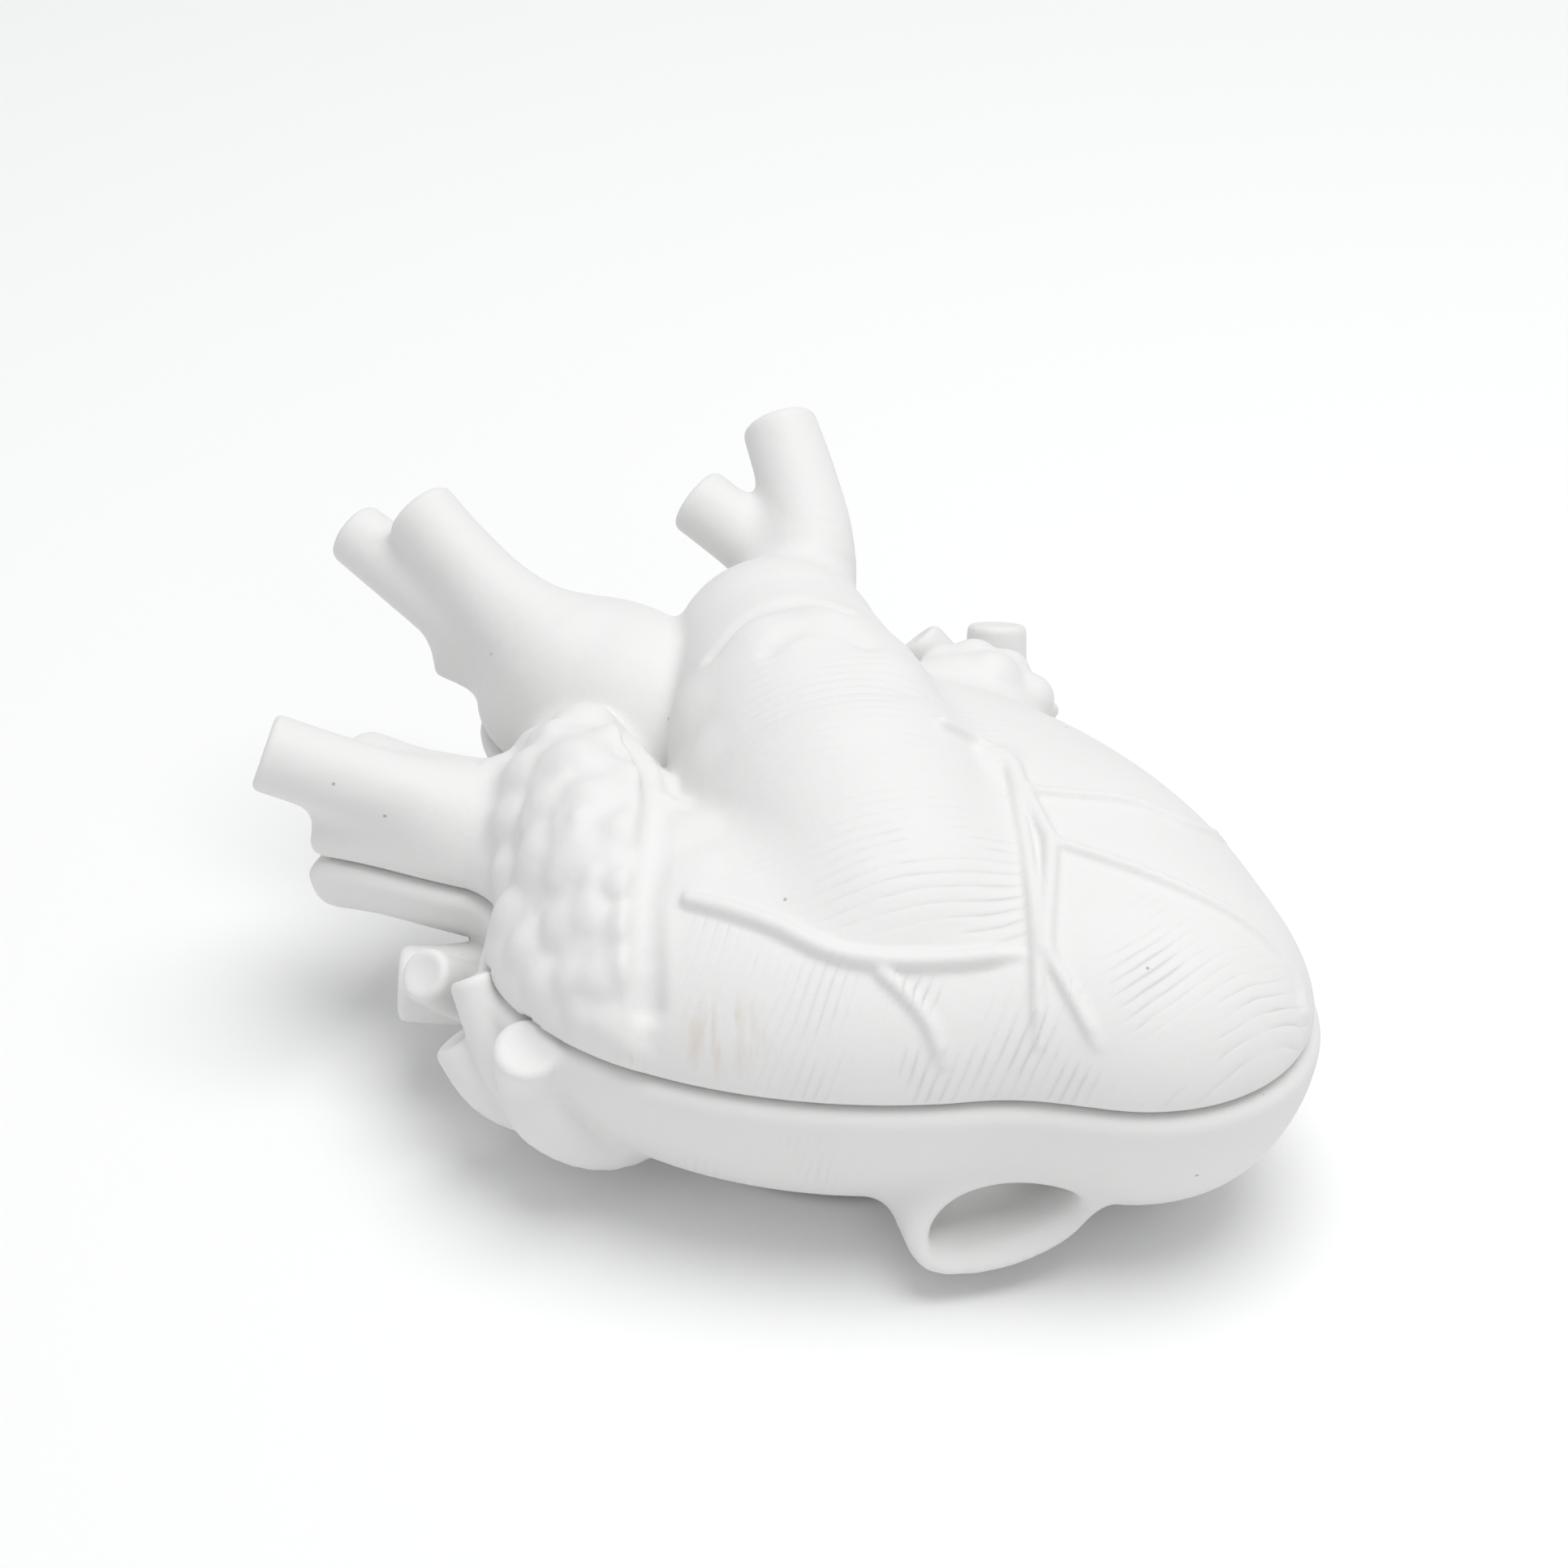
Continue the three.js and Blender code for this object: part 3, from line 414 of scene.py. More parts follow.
def base_field(p):
    core = heart(p)
    z = p[:, 2]
    d = smin(core - RIM_STEP, cava_tube(p, RIM_STEP), 5)
    ring = smax(np.abs(cylinder(p, KEY_X, KEY_Y, 28.5)) - 2.5, 1.3 - z, 1.0)
    d = smin(d, np.maximum(ring, z - 16), 2.0)
    tube, mouth = lower_cava(p)
    d = smin(d, tube, 3.5)
    d = smax(d, z - (PARTING - GAP / 2), RIM_ROUNDING)
    for points in BASE_VESSELS:
        d = add_vessel(d, p, points, 1.4)
    pedestal = np.maximum(cylinder(p, KEY_X, KEY_Y, 31), z - 18)
    room = smin(smax(core + WALL, -pedestal, 3.0), cava_bore(p), 3)
    d = smax(d, -room, 1.0)
    d = smax(d, -mouth, 2.6)
    well = smax(cylinder(p, KEY_X, KEY_Y, 26), z - 14, 2.0)
    d = smax(d, -well, 1.0)
    d = np.maximum(d, -np.maximum(cylinder(p, KEY_X, KEY_Y, 3.6), z - 30))
    for x, y in ((-11, -15), (-11, 15), (20, 0)):
        d = np.maximum(d, -np.maximum(cylinder(p, KEY_X + x, KEY_Y + y, 1.8), z - 30))
    return d


# ---- Meshing ----------------------------------------------------------------------------------------
def sampled(field, lo, hi, step):
    """The field on a grid, worked out only where a coarse look says that the surface may be."""
    block = 5
    n = [int(math.ceil((b - a) / (step * block))) for a, b in zip(lo, hi)]
    coarse_axes = [a + step * (block * np.arange(m) + (block - 1) / 2) for a, m in zip(lo, n)]
    centres = np.stack(np.meshgrid(*coarse_axes, indexing="ij"), -1).reshape(-1, 3).astype(np.float32)
    coarse = field(centres).reshape(n)
    reach = step * block * 0.87 + 3.0
    volume = np.repeat(np.repeat(np.repeat(coarse, block, 0), block, 1), block, 2).astype(np.float32)
    busy = np.abs(volume) < reach
    cells = np.argwhere(busy)
    points = (np.array(lo) + step * cells).astype(np.float32)
    values = np.concatenate([field(points[i : i + 400000]) for i in range(0, len(points), 400000)])
    volume[busy] = values
    return volume


def surface_nets(volume, lo, step):
    """Vertices and quads of the volume's zero surface."""
    inside = volume < 0
    nx, ny, nz = volume.shape
    corners = [(i, j, k) for i in (0, 1) for j in (0, 1) for k in (0, 1)]
    count = sum(inside[i : nx - 1 + i, j : ny - 1 + j, k : nz - 1 + k].astype(np.int8) for i, j, k in corners)
    cells = np.argwhere((count > 0) & (count < 8))
    index = -np.ones((nx - 1, ny - 1, nz - 1), np.int32)
    index[tuple(cells.T)] = np.arange(len(cells))
    total = np.zeros((len(cells), 3))
    hits = np.zeros(len(cells))
    for a in corners:
        for axis in range(3):
            if a[axis]:
                continue
            b = list(a)
            b[axis] = 1
            va = volume[tuple((cells + a).T)]
            vb = volume[tuple((cells + b).T)]
            hit = (va < 0) != (vb < 0)
            t = np.where(hit, va / np.where(hit, va - vb, 1), 0)
            point = np.array(a, float) + t[:, None] * (np.array(b) - np.array(a))
            total += np.where(hit[:, None], point, 0)
            hits += hit
    verts = np.array(lo) + step * (cells + total / hits[:, None])
    quads = []
    for axis in range(3):
        u, v = [(1, 2), (2, 0), (0, 1)][axis]
        low, high = [slice(None)] * 3, [slice(None)] * 3
        low[axis], high[axis] = slice(0, -1), slice(1, None)
        a, b = inside[tuple(low)], inside[tuple(high)]
        edges = np.argwhere(a != b)
        keep = (edges[:, u] > 0) & (edges[:, v] > 0)
        keep &= (edges[:, u] < volume.shape[u] - 1) & (edges[:, v] < volume.shape[v] - 1)
        edges = edges[keep]
        du, dv = np.eye(3, dtype=int)[u], np.eye(3, dtype=int)[v]
        q = np.stack([index[tuple((edges - d).T)] for d in (du + dv, dv, 0 * du, du)], axis=1)
        flip = ~a[tuple(edges.T)]
        q[flip] = q[flip][:, ::-1]
        quads.append(q)
    return verts, np.vstack(quads)


def onto_surface(field, verts, step):
    """Newton steps that settle the vertices on the field's own surface."""
    for _ in range(2):
        p = verts.astype(np.float32)
        d = field(p)
        slope = np.stack([field(p + e) - d for e in np.eye(3, dtype=np.float32) * 0.12], axis=1) / 0.12
        move = -d[:, None] * slope / np.maximum((slope**2).sum(1), 0.3)[:, None]
        length = np.linalg.norm(move, axis=1)
        verts = verts + move * np.minimum(1, 0.5 * step / np.maximum(length, 1e-6))[:, None]
    return verts


def mesh_object(name, verts_mm, quads):
    mesh = bpy.data.meshes.new(name)
    mesh.vertices.add(len(verts_mm))
    mesh.vertices.foreach_set("co", ((verts_mm + SHIFT) * MM).astype(np.float32).ravel())
    mesh.loops.add(quads.size)
    mesh.loops.foreach_set("vertex_index", quads.astype(np.int32).ravel())
    mesh.polygons.add(len(quads))
    mesh.polygons.foreach_set("loop_start", np.arange(0, quads.size, 4, dtype=np.int32))
    mesh.polygons.foreach_set("use_smooth", np.ones(len(quads), bool))
    mesh.update(calc_edges=True)
    mesh.validate()
    obj = bpy.data.objects.new(name, mesh)
    bpy.context.scene.collection.objects.link(obj)
    return obj


def sculpt(name, field, lo, hi, step):
    volume = sampled(field, lo, hi, step)
    verts, quads = surface_nets(volume, lo, step)
    verts = onto_surface(field, verts, step)
    return mesh_object(name, verts, quads), verts


def ramp(value, low, high):
    t = np.clip((value - low) / (high - low), 0, 1)
    return t * t * (3 - 2 * t)


def side_of(p, a, b):
    """Signed plan distance to the line from a to b, positive on its left."""
    a, b = np.array(a, float), np.array(b, float)
    n = np.array([-(b - a)[1], (b - a)[0]]) / np.linalg.norm(b - a)
    return (p[:, :2] - a) @ n


def store(obj, name, kind, prop, values):
    layer = obj.data.attributes.new(name, kind, "POINT")
    layer.data.foreach_set(prop, values.astype(np.float32).ravel())


def groove_masks(obj, p):
    """How strongly each family of muscle grooves shows: over the outflow, the front, the apex, the top."""
    x, y, z = p.T
    outside = ramp(heart(p.astype(np.float32)), -2.5, -0.8) * ramp(z, 36.5, 38.5)
    above_marginal = ramp(side_of(p, (-17, -42), (12, -56)), 1.0, 4.0) * ramp(y, -53, -50)
    below_marginal = np.where(
        x < 14, ramp(-side_of(p, (-17, -42), (12, -56)), 0.5, 3.0), ramp(-y, 56, 58.5)
    )
    left_of_lad = ramp(37.5 - x, 0.5, 2.5)
    right_of_lad = ramp(x - 41, 0.5, 4)
    deep = ramp(x, 2, 16) * ramp(-y, 22, 36)
    conus = above_marginal * left_of_lad * ramp(x, -14, -6) * (0.42 + 0.58 * deep) * ramp(16 - y, 0, 10)
    front = below_marginal * ramp(x, -22, -15) * ramp(52 - x, 0, 8) * (0.45 + 0.55 * ramp(x, -4, 14))
    edge = ramp(-side_of(p, (46, -30), (82, -48)), 1, 9)
    apex = right_of_lad * edge * ramp(x, 44, 56) * (0.5 + 0.5 * ramp(-y + 0.4 * x, 62, 82))
    masks = np.stack([conus, front, apex], axis=1) * outside[:, None]
    store(obj, "grooves", "FLOAT_VECTOR", "vector", masks)
    top = right_of_lad * ramp(side_of(p, (30, 2), (60, -6)), 0, 8) * 0.6
    store(obj, "top_grooves", "FLOAT", "value", top * outside)
    side = ramp(PARTING - 3 - z, 0, 3) * ramp(-y, 44, 54) * ramp(x, -24, -16) * ramp(12 - x, 0, 10)
    store(obj, "side_grooves", "FLOAT", "value", 0.5 * side * (heart(p.astype(np.float32)) > 0.2))


STEP = 0.72
lid, lid_points = sculpt("heart_lid", lid_field, (-95, -78, 30), (92, 90, 88), STEP)
base, base_points = sculpt("heart_base", base_field, (-88, -96, -1), (92, 72, 50), STEP)
groove_masks(lid, lid_points)
groove_masks(base, base_points)


# ---- Materials --------------------------------------------------------------------------------------
class Nodes:
    """Short names for the nodes of one material."""

    def __init__(self, name):
        self.material = bpy.data.materials.new(name)
        self.material.use_nodes = True
        self.tree = self.material.node_tree
        self.shader = self.tree.nodes["Principled BSDF"]

    def add(self, kind, **values):
        node = self.tree.nodes.new(kind)
        for key, value in values.items():
            if key in node.bl_rna.properties:
                setattr(node, key, value)
            else:
                node.inputs[key].default_value = value
        return node

    def link(self, a, b):
        self.tree.links.new(a, b)

    def math(self, operation, a, b=None):
        node = self.add("ShaderNodeMath", operation=operation)
        for i, value in enumerate((a, b)):
            if value is None:
                continue
            if isinstance(value, (int, float)):
                node.inputs[i].default_value = value
            else:
                self.link(value, node.inputs[i])
        return node.outputs[0]

    def coords(self):
        """Object coordinates in millimetres."""
        source = self.add("ShaderNodeTexCoord")
        scale = self.add("ShaderNodeVectorMath", operation="SCALE")
        scale.inputs["Scale"].default_value = 1000.0
        self.link(source.outputs["Object"], scale.inputs[0])
        return scale.outputs[0]

    def noise(self, vector, scale, detail=2.0, rough=0.5):
        node = self.add("ShaderNodeTexNoise", Scale=scale, Detail=detail, Roughness=rough)
        self.link(vector, node.inputs["Vector"])
        return node.outputs["Fac"]

    def ramp(self, value, low, high):
        node = self.add("ShaderNodeMapRange", interpolation_type="SMOOTHSTEP")
        node.inputs["From Min"].default_value = low
        node.inputs["From Max"].default_value = high
        self.link(value, node.inputs["Value"])
        return node.outputs["Result"]

    def mix(self, factor, a, b):
        node = self.add("ShaderNodeMix", data_type="RGBA")
        self.link(factor, node.inputs["Factor"])
        for socket, value in ((node.inputs[6], a), (node.inputs[7], b)):
            if isinstance(value, tuple):
                socket.default_value = value
            else:
                self.link(value, socket)
        return node.outputs[2]

    def bump(self, height, distance_mm, strength=1.0):
        node = self.add("ShaderNodeBump", Strength=strength, Distance=distance_mm * MM)
        self.link(height, node.inputs["Height"])
        self.link(node.outputs[0], self.shader.inputs["Normal"])


def groove_wave(n, coords, across, spacing, mask):
    """One family of fine grooves: `across` is the direction from each to the next."""
    length = math.sqrt(sum(c * c for c in across))
    dot = n.add("ShaderNodeVectorMath", operation="DOT_PRODUCT")
    dot.inputs[1].default_value = [c / (length * spacing) for c in across]
    n.link(coords, dot.inputs[0])
    wander = n.math("MULTIPLY", n.noise(coords, 0.02, 1.0), 4.0)
    wobble = n.math("MULTIPLY", n.noise(coords, 0.1, 1.0), 0.5)
    phase = n.math("ADD", dot.outputs["Value"], n.math("ADD", wander, wobble))
    wave = n.math("ABSOLUTE", n.math("SINE", n.math("MULTIPLY", phase, math.pi)))
    ridge = n.math("SUBTRACT", 1.0, n.math("POWER", n.math("SUBTRACT", 1.0, wave), 1.8))
    uneven = n.ramp(n.noise(coords, 0.08, 3.0), 0.34, 0.66)
    return n.math("MULTIPLY", n.math("MULTIPLY", n.math("SUBTRACT", ridge, 1.0), uneven), mask)


def porcelain():
    n = Nodes("bisque_porcelain")
    p = n.coords()
    masks = n.add("ShaderNodeAttribute", attribute_name="grooves")
    split = n.add("ShaderNodeSeparateXYZ")
    n.link(masks.outputs["Vector"], split.inputs[0])
    top = n.add("ShaderNodeAttribute", attribute_name="top_grooves")
    side = n.add("ShaderNodeAttribute", attribute_name="side_grooves")
    waves = [
        groove_wave(n, p, (-0.25, 1.0, 0.1), 2.1, split.outputs[0]),
        groove_wave(n, p, (1.0, -0.1, -0.42), 1.9, split.outputs[1]),
        groove_wave(n, p, (0.62, -0.78, -0.35), 2.2, split.outputs[2]),
        groove_wave(n, p, (-0.1, 1.0, -0.2), 1.8, top.outputs["Fac"]),
        groove_wave(n, p, (1.0, -0.1, -0.2), 1.7, side.outputs["Fac"]),
    ]
    height = waves[0]
    for wave in waves[1:]:
        height = n.math("ADD", height, wave)
    uneven = n.math("MULTIPLY", n.noise(p, 0.16, 3.0), 1.1)
    grain = n.math("MULTIPLY", n.noise(p, 3.0, 3.0, 0.7), 0.1)
    height = n.math("ADD", height, n.math("ADD", uneven, grain))
    n.bump(height, 0.24)
    # A few dark specks, and the warm stains of iron in the body near the front of the rim.
    cells = n.add("ShaderNodeTexVoronoi", Scale=0.085)
    n.link(p, cells.inputs["Vector"])
    speck = n.math("LESS_THAN", cells.outputs["Distance"], 0.028)
    tint = n.mix(n.noise(p, 0.03, 2.0), (0.775, 0.77, 0.76, 1), (0.81, 0.807, 0.80, 1))
    tint = n.mix(n.math("MULTIPLY", speck, 0.5), tint, (0.18, 0.14, 0.11, 1))
    for centre, reach, colour in (((-8, -64.5, 46), 9.0, 0.45), ((-22.5, -62, 39.5), 3.4, 0.9)):
        offset = n.add("ShaderNodeVectorMath", operation="DISTANCE")
        offset.inputs[1].default_value = centre
        n.link(p, offset.inputs[0])
        near_it = n.math("SUBTRACT", 1.0, n.ramp(offset.outputs["Value"], 0.25 * reach, reach))
        along = n.add("ShaderNodeVectorMath", operation="MULTIPLY")
        along.inputs[1].default_value = (1.0, 0.12, 0.2)
        n.link(p, along.inputs[0])
        streaks = n.ramp(n.noise(along.outputs[0], 0.5, 2.0), 0.4, 0.75)
        share = n.math("MULTIPLY", n.math("MULTIPLY", near_it, streaks), colour)
        tint = n.mix(share, tint, (0.62, 0.47, 0.33, 1))
    n.link(tint, n.shader.inputs["Base Color"])
    n.shader.inputs["Roughness"].default_value = 0.62
    n.shader.inputs["Subsurface Weight"].default_value = 0.12
    n.shader.inputs["Subsurface Radius"].default_value = (1.0, 0.9, 0.8)
    n.shader.inputs["Subsurface Scale"].default_value = 0.0015
    return n.material


def metal(name, colour, roughness, streak=(1.0, 1.0, 1.0), dark=0.8):
    n = Nodes(name)
    p = n.coords()
    stretch = n.add("ShaderNodeVectorMath", operation="MULTIPLY")
    stretch.inputs[1].default_value = streak
    n.link(p, stretch.inputs[0])
    fine = n.noise(stretch.outputs[0], 2.5, 4.0, 0.7)
    broad = n.noise(p, 0.12, 2.0)
    shade = tuple(c * dark for c in colour)
    n.link(n.mix(broad, (*shade, 1), (*colour, 1)), n.shader.inputs["Base Color"])
    rough = n.add("ShaderNodeMapRange")
    rough.inputs["To Min"].default_value = roughness - 0.08
    rough.inputs["To Max"].default_value = roughness + 0.12
    n.link(fine, rough.inputs["Value"])
    n.link(rough.outputs["Result"], n.shader.inputs["Roughness"])
    n.shader.inputs["Metallic"].default_value = 1.0
    n.bump(fine, 0.02, 0.6)
    return n.material


def felt():
    n = Nodes("pressed_felt")
    p = n.coords()
    fibres = n.noise(p, 2.2, 6.0, 0.8)
    n.link(n.mix(fibres, (0.16, 0.155, 0.15, 1), (0.34, 0.33, 0.31, 1)), n.shader.inputs["Base Color"])
    n.shader.inputs["Roughness"].default_value = 0.95
    n.shader.inputs["Sheen Weight"].default_value = 0.3
    n.bump(fibres, 0.3)
    return n.material


def nylon():
    n = Nodes("moulded_nylon")
    p = n.coords()
    ivory = n.mix(n.noise(p, 0.4, 2.0), (0.78, 0.75, 0.66, 1), (0.84, 0.81, 0.73, 1))
    n.link(ivory, n.shader.inputs["Base Color"])
    n.shader.inputs["Roughness"].default_value = 0.45
    n.bump(n.noise(p, 4.0, 2.0), 0.02)
    return n.material


PORCELAIN = porcelain()
FINISHES = {
    "zinc": metal("die_cast_zinc", (0.60, 0.61, 0.62), 0.42),
    "steel": metal("satin_steel", (0.66, 0.67, 0.69), 0.3, (1, 0.15, 1)),
    "spring_steel": metal("blued_spring_steel", (0.20, 0.24, 0.32), 0.3),
    "brass": metal("brushed_brass", (0.78, 0.58, 0.27), 0.3, (1, 0.2, 1)),
    "felt": felt(),
    "nylon": nylon(),
    "porcelain": PORCELAIN,
}


def finish_with(obj, slot):
    obj.data.materials.clear()
    obj.data.materials.append(FINISHES[slot])


def hand_over(obj, slot, body, node=None):
    """Gives a piece its finish and its body, and hides the CAD node that it stands for, if any."""
    finish_with(obj, slot)
    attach(obj, body)
    if node:
        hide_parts(node)


hand_over(lid, "porcelain", "lid", "lid_shell")
hand_over(base, "porcelain", "base", "base_shell")


# ---- The movement's turned and moulded pieces -------------------------------------------------------
# Millimetres from the key's axis and the underside of the bed, as the frame's movement is laid out.
AXIS_Z = 18.85
CYLINDER_X = (14.2, 34.6)
CYLINDER_RADIUS = 6.5
COMB_TEETH = 18
COMB_X = (CYLINDER_X[0] + 0.4, CYLINDER_X[1] - 0.4)
STOP_X, STOP_Y = 27.0, 15.5
WORM_X, WORM_Y = 40.0, 12.65


def rounded(profile, cut=0.25):
    """The same outline with each inner corner eased over `cut` millimetres."""
    pts = [np.array(q, float) for q in profile]
    out = [pts[0]]
    for a, b, c in zip(pts[:-2], pts[1:-1], pts[2:]):
        la, lc = np.linalg.norm(a - b), np.linalg.norm(c - b)
        first = b + (a - b) * min(cut / la, 0.45)
        last = b + (c - b) * min(cut / lc, 0.45)
        out += [first, (first + last + 2 * b) / 4, last]
    return out + [pts[-1]]


def oriented(radial, height, angle, axis):
    c, s = radial * math.cos(angle), radial * math.sin(angle)
    if axis == "X":
        return (height, c, s)
    if axis == "Y":
        return (s, height, c)
    return (c, s, height)


def turned(bm, profile, at=(0, 0, 0), axis="Z", sides=40):
    """Adds the solid of revolution of a (radius, height) outline to bm."""
    rings = []
    for radial, height in profile:
        count = 1 if radial < 1e-6 else sides
        ring = []
        for i in range(count):
            v = oriented(radial, height, 2 * math.pi * i / sides, axis)
            ring.append(bm.verts.new([a + b for a, b in zip(v, at)]))
        rings.append(ring)
    for a, b in zip(rings[:-1], rings[1:]):
        for i in range(sides):
            corners = [a[i % len(a)], a[(i + 1) % len(a)], b[(i + 1) % len(b)], b[i % len(b)]]
            unique = list(dict.fromkeys(corners))
            if len(unique) > 2:
                bm.faces.new(unique)
    return bm


def prism(bm, outline, z0, z1, at=(0, 0, 0)):
    low = [bm.verts.new((x + at[0], y + at[1], z0 + at[2])) for x, y in outline]
    high = [bm.verts.new((x + at[0], y + at[1], z1 + at[2])) for x, y in outline]
    bm.faces.new(low[::-1])
    bm.faces.new(high)
    for i in range(len(low)):
        k = (i + 1) % len(low)
        bm.faces.new((low[i], low[k], high[k], high[i]))
    return bm


def finished(name, bm, slot, body, node=None, bevel=0.0):
    bmesh.ops.remove_doubles(bm, verts=bm.verts, dist=1e-5)
    bmesh.ops.recalc_face_normals(bm, faces=bm.faces)
    if bevel:
        sharp = [e for e in bm.edges if len(e.link_faces) == 2 and e.calc_face_angle(0) > 0.7]
        bmesh.ops.bevel(bm, geom=sharp, offset=bevel, segments=2, affect="EDGES", clamp_overlap=True)
    origin = Vector((KEY_X + SHIFT[0], KEY_Y + SHIFT[1], BED_BOTTOM))
    for v in bm.verts:
        v.co = (v.co + origin) * MM
    mesh = bpy.data.meshes.new(name)
    bm.to_mesh(mesh)
    bm.free()
    mesh.shade_smooth()
    mesh.set_sharp_from_angle(angle=math.radians(32))
    obj = bpy.data.objects.new(name, mesh)
    bpy.context.scene.collection.objects.link(obj)
    hand_over(obj, slot, body, node)
    return obj


def slotted_screw(name, node, x, y, seat, head_radius, head_height, shank_radius, reach, down=False):
    """A cheese-head screw: a slotted head that starts at `seat`, and a shank that runs on by `reach`."""
    bm = bmesh.new()
    way = -1 if down else 1
    slot_half, slot_depth = 0.16 * head_radius, 0.45 * head_height
    floor = head_height - slot_depth
    outline = [(0, -reach), (shank_radius, -reach), (shank_radius, 0), (head_radius, 0)]
    outline += [(head_radius, floor), (0, floor)]
    turned(bm, [(r, seat + way * h) for r, h in rounded(outline, 0.15)], (x, y, 0), sides=28)
    start = math.asin(slot_half / head_radius)
    for side in (0, math.pi):
        arc = [start + (math.pi - 2 * start) * i / 14 + side for i in range(15)]
        for low, high, shrink in ((floor, head_height - 0.2, 0.0), (head_height - 0.2, head_height, 0.2)):
            r = head_radius - shrink
            pts = [(r * math.cos(a), r * math.sin(a)) for a in arc]
            levels = sorted((seat + way * low, seat + way * high))
            prism(bm, pts, levels[0], levels[1], (x, y, 0))
    finished(name, bm, "steel", "base", node)


def pin_cylinder():
    bm = bmesh.new()
    x0, x1 = CYLINDER_X
    radius = CYLINDER_RADIUS
    outline = [(1.2, x0), (radius, x0), (radius, x1)]
    outline += [(radius - 0.9, x1), (radius - 0.9, x0 + 1), (1.2, x0 + 1)]
    turned(bm, rounded(outline + [(1.2, x0)], 0.2), (0, 0, AXIS_Z), "X", 72)
    pitch = (COMB_X[1] - COMB_X[0]) / COMB_TEETH
    for tooth in range(COMB_TEETH):
        x = COMB_X[0] + (tooth + 0.5) * pitch
        for k in range(11):
            step = (k * 37 + tooth * tooth * 11 + tooth * 5) % 96
            angle = 2 * math.pi * step / 96
            along = Vector((0, math.cos(angle), math.sin(angle)))
            side = Vector((0, -math.sin(angle), math.cos(angle)))
            centre = Vector((x, 0, AXIS_Z))
            rings = []
            for height, r in ((radius - 0.1, 0.2), (radius + 0.55, 0.12)):
                corners = [(r * math.cos(math.pi * i / 3), r * math.sin(math.pi * i / 3)) for i in range(6)]
                root = centre + along * height
                rings.append([bm.verts.new(root + side * b + Vector((a, 0, 0))) for a, b in corners])
            for i in range(6):
                m = (i + 1) % 6
                bm.faces.new((rings[0][i], rings[0][m], rings[1][m], rings[1][i]))
            bm.faces.new(rings[1])
            bm.faces.new(rings[0][::-1])
    finished("pinned_cylinder", bm, "brass", "cylinder", "pin_cylinder")


def spring_box():
    bm = bmesh.new()
    outline = [(2.0, 12), (11, 12), (11, 3.3), (11.7, 3.3), (11.7, 4.2), (11.4, 4.4)]
    outline += [(11.4, 11.9), (12, 12.1), (12, 12.7), (11.5, 13), (9.6, 13), (9.3, 12.75)]
    outline += [(4.6, 12.75), (4.3, 13), (2.0, 13), (2.0, 12)]
    turned(bm, rounded(outline, 0.12), sides=72)
    for i in range(6):
        a = 2 * math.pi * i / 6
        rivet = [(0, 12.6), (0.7, 12.6), (0.7, 12.98), (0, 12.98)]
        turned(bm, rounded(rivet, 0.1), (7 * math.cos(a), 7 * math.sin(a), 0), sides=16)
    finished("spring_barrel", bm, "steel", "base", "spring_housing")


def key_and_shaft():
    bm = bmesh.new()
    outline = [(0, -14.4), (2.4, -14.4), (3.2, -13.9), (3.2, -12.9), (2.9, -12.6)]
    outline += [(2.9, -7.9), (3.2, -7.6), (3.2, -6.4), (1.9, -6.4), (1.9, -12.1), (0, -12.1)]
    turned(bm, rounded(outline, 0.15), sides=48)
    for side in (-1, 1):
        edge = [(0, -0.5), (2.9, -0.5), (3.5, -0.8), (4.7, -0.8), (5.2, -0.45), (5.2, 0.45), (4.7, 0.8)]
        edge += [(3.5, 0.8), (2.9, 0.5), (0, 0.5)]
        turned(bm, rounded(edge, 0.12), (side * 8.2, 0, -11), "Y", 48)
    finished("thumb_key", bm, "brass", "winding", "winding_key")
    bm = bmesh.new()
    outline = [(0, -11.8), (1.6, -11.8), (1.6, 4.2), (2.4, 4.2), (2.4, 11.4), (1.6, 11.4), (1.6, 17.4)]
    outline += [(2.8, 17.4), (2.8, 18.4), (0, 18.4)]
    turned(bm, rounded(outline, 0.2), sides=36)
    finished("key_arbor", bm, "steel", "winding", "winding_shaft")


def air_brake():
    bm = bmesh.new()
    hub = [(1.0, 20.4), (1.7, 20.4), (1.7, 23.8), (1.0, 23.8), (1.0, 20.4)]
    turned(bm, rounded(hub, 0.2), (WORM_X, WORM_Y, 0), sides=24)
    for side in (-1, 1):
        pts = []
        for i in range(9):
            x = 1.4 + 2.8 * i / 8
            pts.append((side * x, side * 0.22 * math.sin(math.pi * i / 8)))
        outline = [(x, y - 0.22) for x, y in pts] + [(x, y + 0.22) for x, y in pts[::-1]]
        prism(bm, outline, 20.7, 23.5, (WORM_X, WORM_Y, 0))
    finished("fan_blades", bm, "nylon", "fan", "air_brake", bevel=0.06)


def stop_parts():
    bm = bmesh.new()
    outline = [(0, 0.4), (0.6, 0.4), (1, 0.9), (1, 17.2), (2.4, 17.2), (2.4, 18.4)]
    outline += [(1, 18.4), (1, 27.4), (0.6, 28), (0, 28)]
    turned(bm, rounded(outline, 0.15), (STOP_X, STOP_Y, 0), sides=24)
    finished("stop_pin", bm, "steel", "stop", "stop_rod")
    bm = bmesh.new()
    outline = [(1.4, 3.3), (3, 3.3), (3, 4.6), (2.5, 4.8), (2.5, 9.8), (3, 10), (3, 11)]
    outline += [(1.4, 11), (1.4, 3.3)]
    turned(bm, rounded(outline, 0.15), (STOP_X, STOP_Y, 0), sides=32)
    finished("stop_bush", bm, "brass", "base", "stop_guide")


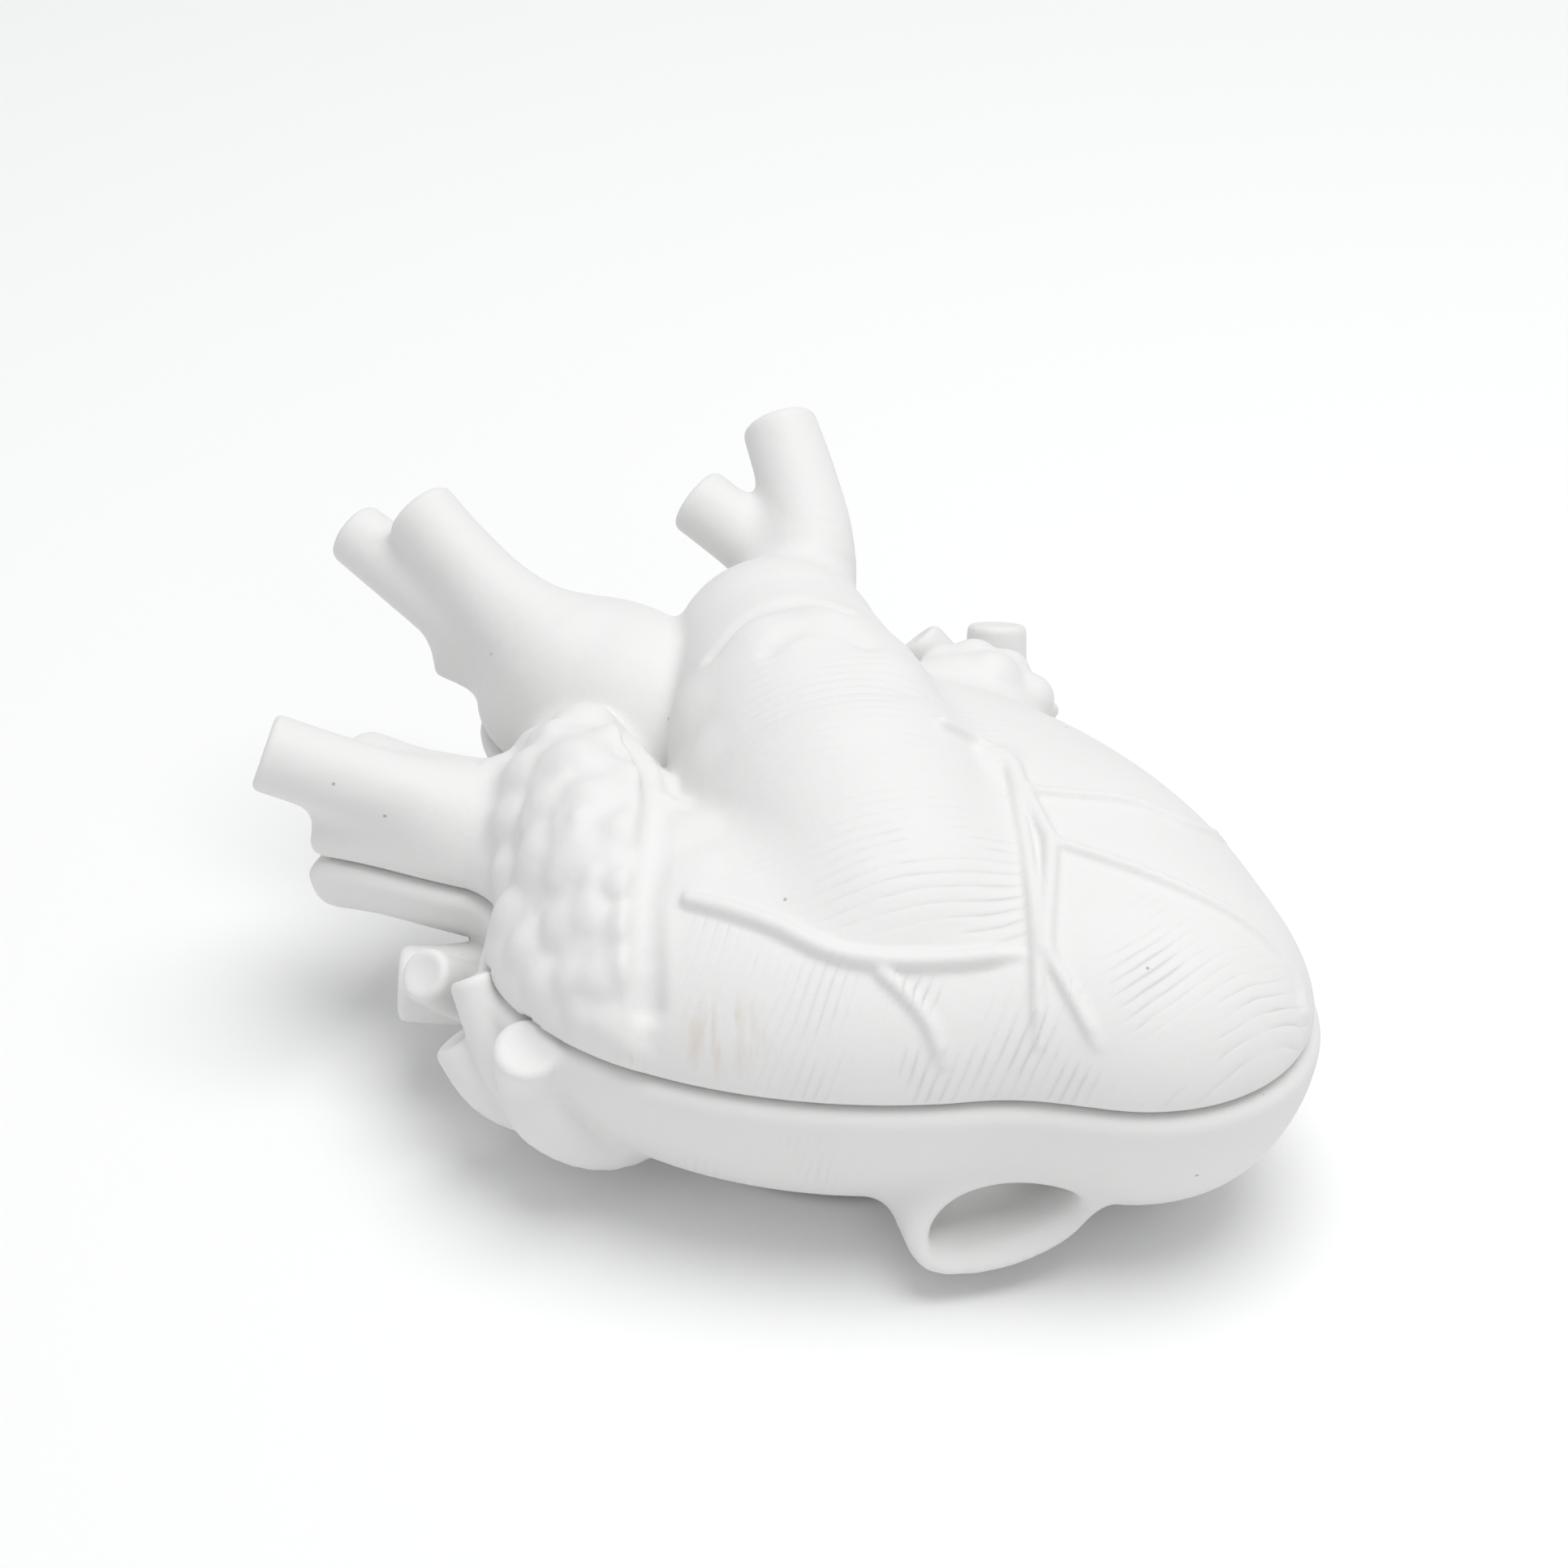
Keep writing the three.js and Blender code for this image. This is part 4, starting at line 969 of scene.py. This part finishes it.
def foot_pads():
    for i in range(3):
        low, high = frame_box(f"foot_pad_{i + 1}")
        x, y = ((low[k] + high[k]) / 2 / MM - (KEY_X, KEY_Y)[k] - SHIFT[k] for k in (0, 1))
        bm = bmesh.new()
        outline = [(0, 0), (1.75, 0), (2.05, 0.12), (2.2, 0.4), (2.2, 0.7), (2.0, 1.0), (0, 1.0)]
        turned(bm, [(r, h - BED_BOTTOM) for r, h in outline], (x, y, 0), sides=32)
        finished(f"felt_foot_{i + 1}", bm, "felt", "base", f"foot_pad_{i + 1}")


def frame_box(node):
    low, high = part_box(node)
    return list(low), list(high)


def arbors():
    bm = bmesh.new()
    outline = [(0, 8.4), (0.5, 8.4), (0.9, 8.9), (0.9, 37.7), (0.5, 38.2), (0, 38.2)]
    turned(bm, rounded(outline, 0.1), (0, 0, AXIS_Z), "X", 24)
    finished("cylinder_axle", bm, "steel", "cylinder", "cylinder_arbor")


pin_cylinder()
spring_box()
key_and_shaft()
air_brake()
stop_parts()
foot_pads()
arbors()
for i, (x, y) in enumerate(((-11, -15), (-11, 15), (20, 0))):
    name = f"bed_screw_{i + 1}"
    slotted_screw(name, f"mounting_screw_{i + 1}", x, y, -5.5, 2.8, 1.6, 1.4, 7.9, down=True)
for i, x in enumerate((COMB_X[0] + 5, COMB_X[1] - 5)):
    slotted_screw(f"comb_bolt_{i + 1}", f"comb_screw_{i + 1}", x, -20.4, 20.45, 2.1, 1.4, 0.8, 7.4)
slotted_screw("bearing_bolt", "bearing_screw", 16.3, 0, 4.6, 1.3, 1.1, 0.7, 4.0)
for i, y in enumerate((-2.2, 16.6)):
    slotted_screw(f"governor_bolt_{i + 1}", f"governor_screw_{i + 1}", 40.5, y, 4.6, 1.3, 1.1, 0.7, 4.0)

for entry in frame["record"]["subparts"]:
    node = frame["nodes"][entry["node"]]
    if entry["material_slot"] != "porcelain":
        if not node.material_slots:
            node.data.materials.append(None)
        for material_slot in node.material_slots:
            material_slot.material = FINISHES[entry["material_slot"]]


# ---- Floor, light and camera --------------------------------------------------------------------------
def add_floor():
    mesh = bpy.data.meshes.new("floor")
    half = 3.0
    corners = [(-half, -half, 0), (half, -half, 0), (half, half, 0), (-half, half, 0)]
    mesh.from_pydata(corners, [], [(0, 1, 2, 3)])
    obj = bpy.data.objects.new("floor", mesh)
    bpy.context.scene.collection.objects.link(obj)
    n = Nodes("pale_floor")
    n.shader.inputs["Base Color"].default_value = (0.93, 0.93, 0.93, 1)
    n.shader.inputs["Roughness"].default_value = 0.9
    n.shader.inputs["Specular IOR Level"].default_value = 0.1
    mesh.materials.append(n.material)


def area_light(name, location, target, size, power):
    data = bpy.data.lights.new(name, "AREA")
    data.shape = "DISK"
    data.size = size
    data.energy = power
    obj = bpy.data.objects.new(name, data)
    obj.location = location
    obj.rotation_mode = "QUATERNION"
    obj.rotation_quaternion = (Vector(target) - Vector(location)).to_track_quat("-Z", "Y")
    bpy.context.scene.collection.objects.link(obj)


def add_world(strength):
    world = bpy.data.worlds.new("studio")
    world.use_nodes = True
    background = world.node_tree.nodes["Background"]
    background.inputs["Color"].default_value = (0.98, 0.99, 1.0, 1)
    background.inputs["Strength"].default_value = strength
    bpy.context.scene.world = world


def add_camera():
    data = bpy.data.cameras.new("camera")
    data.lens = 100.0
    data.sensor_width = 36.0
    elevation = math.radians(35.0)
    distance = 772.0
    target = np.array([-2.0, 31.0, 30.0]) + SHIFT
    back = np.array([0.0, -math.cos(elevation), math.sin(elevation)])
    obj = bpy.data.objects.new("camera", data)
    obj.location = Vector((target + distance * back) * MM)
    obj.rotation_euler = (math.radians(90.0) - elevation, 0.0, 0.0)
    bpy.context.scene.collection.objects.link(obj)
    bpy.context.scene.camera = obj


add_floor()
bpy.context.scene.view_settings.view_transform = "Standard"
add_world(0.56)
area_light("overhead", (0.2, 0.0, 1.2), (0, 0, 0.03), 1.0, 8.8)
area_light("front_fill", (0.3, -1.3, 0.8), (0, 0, 0.03), 0.8, 1.2)
add_camera()
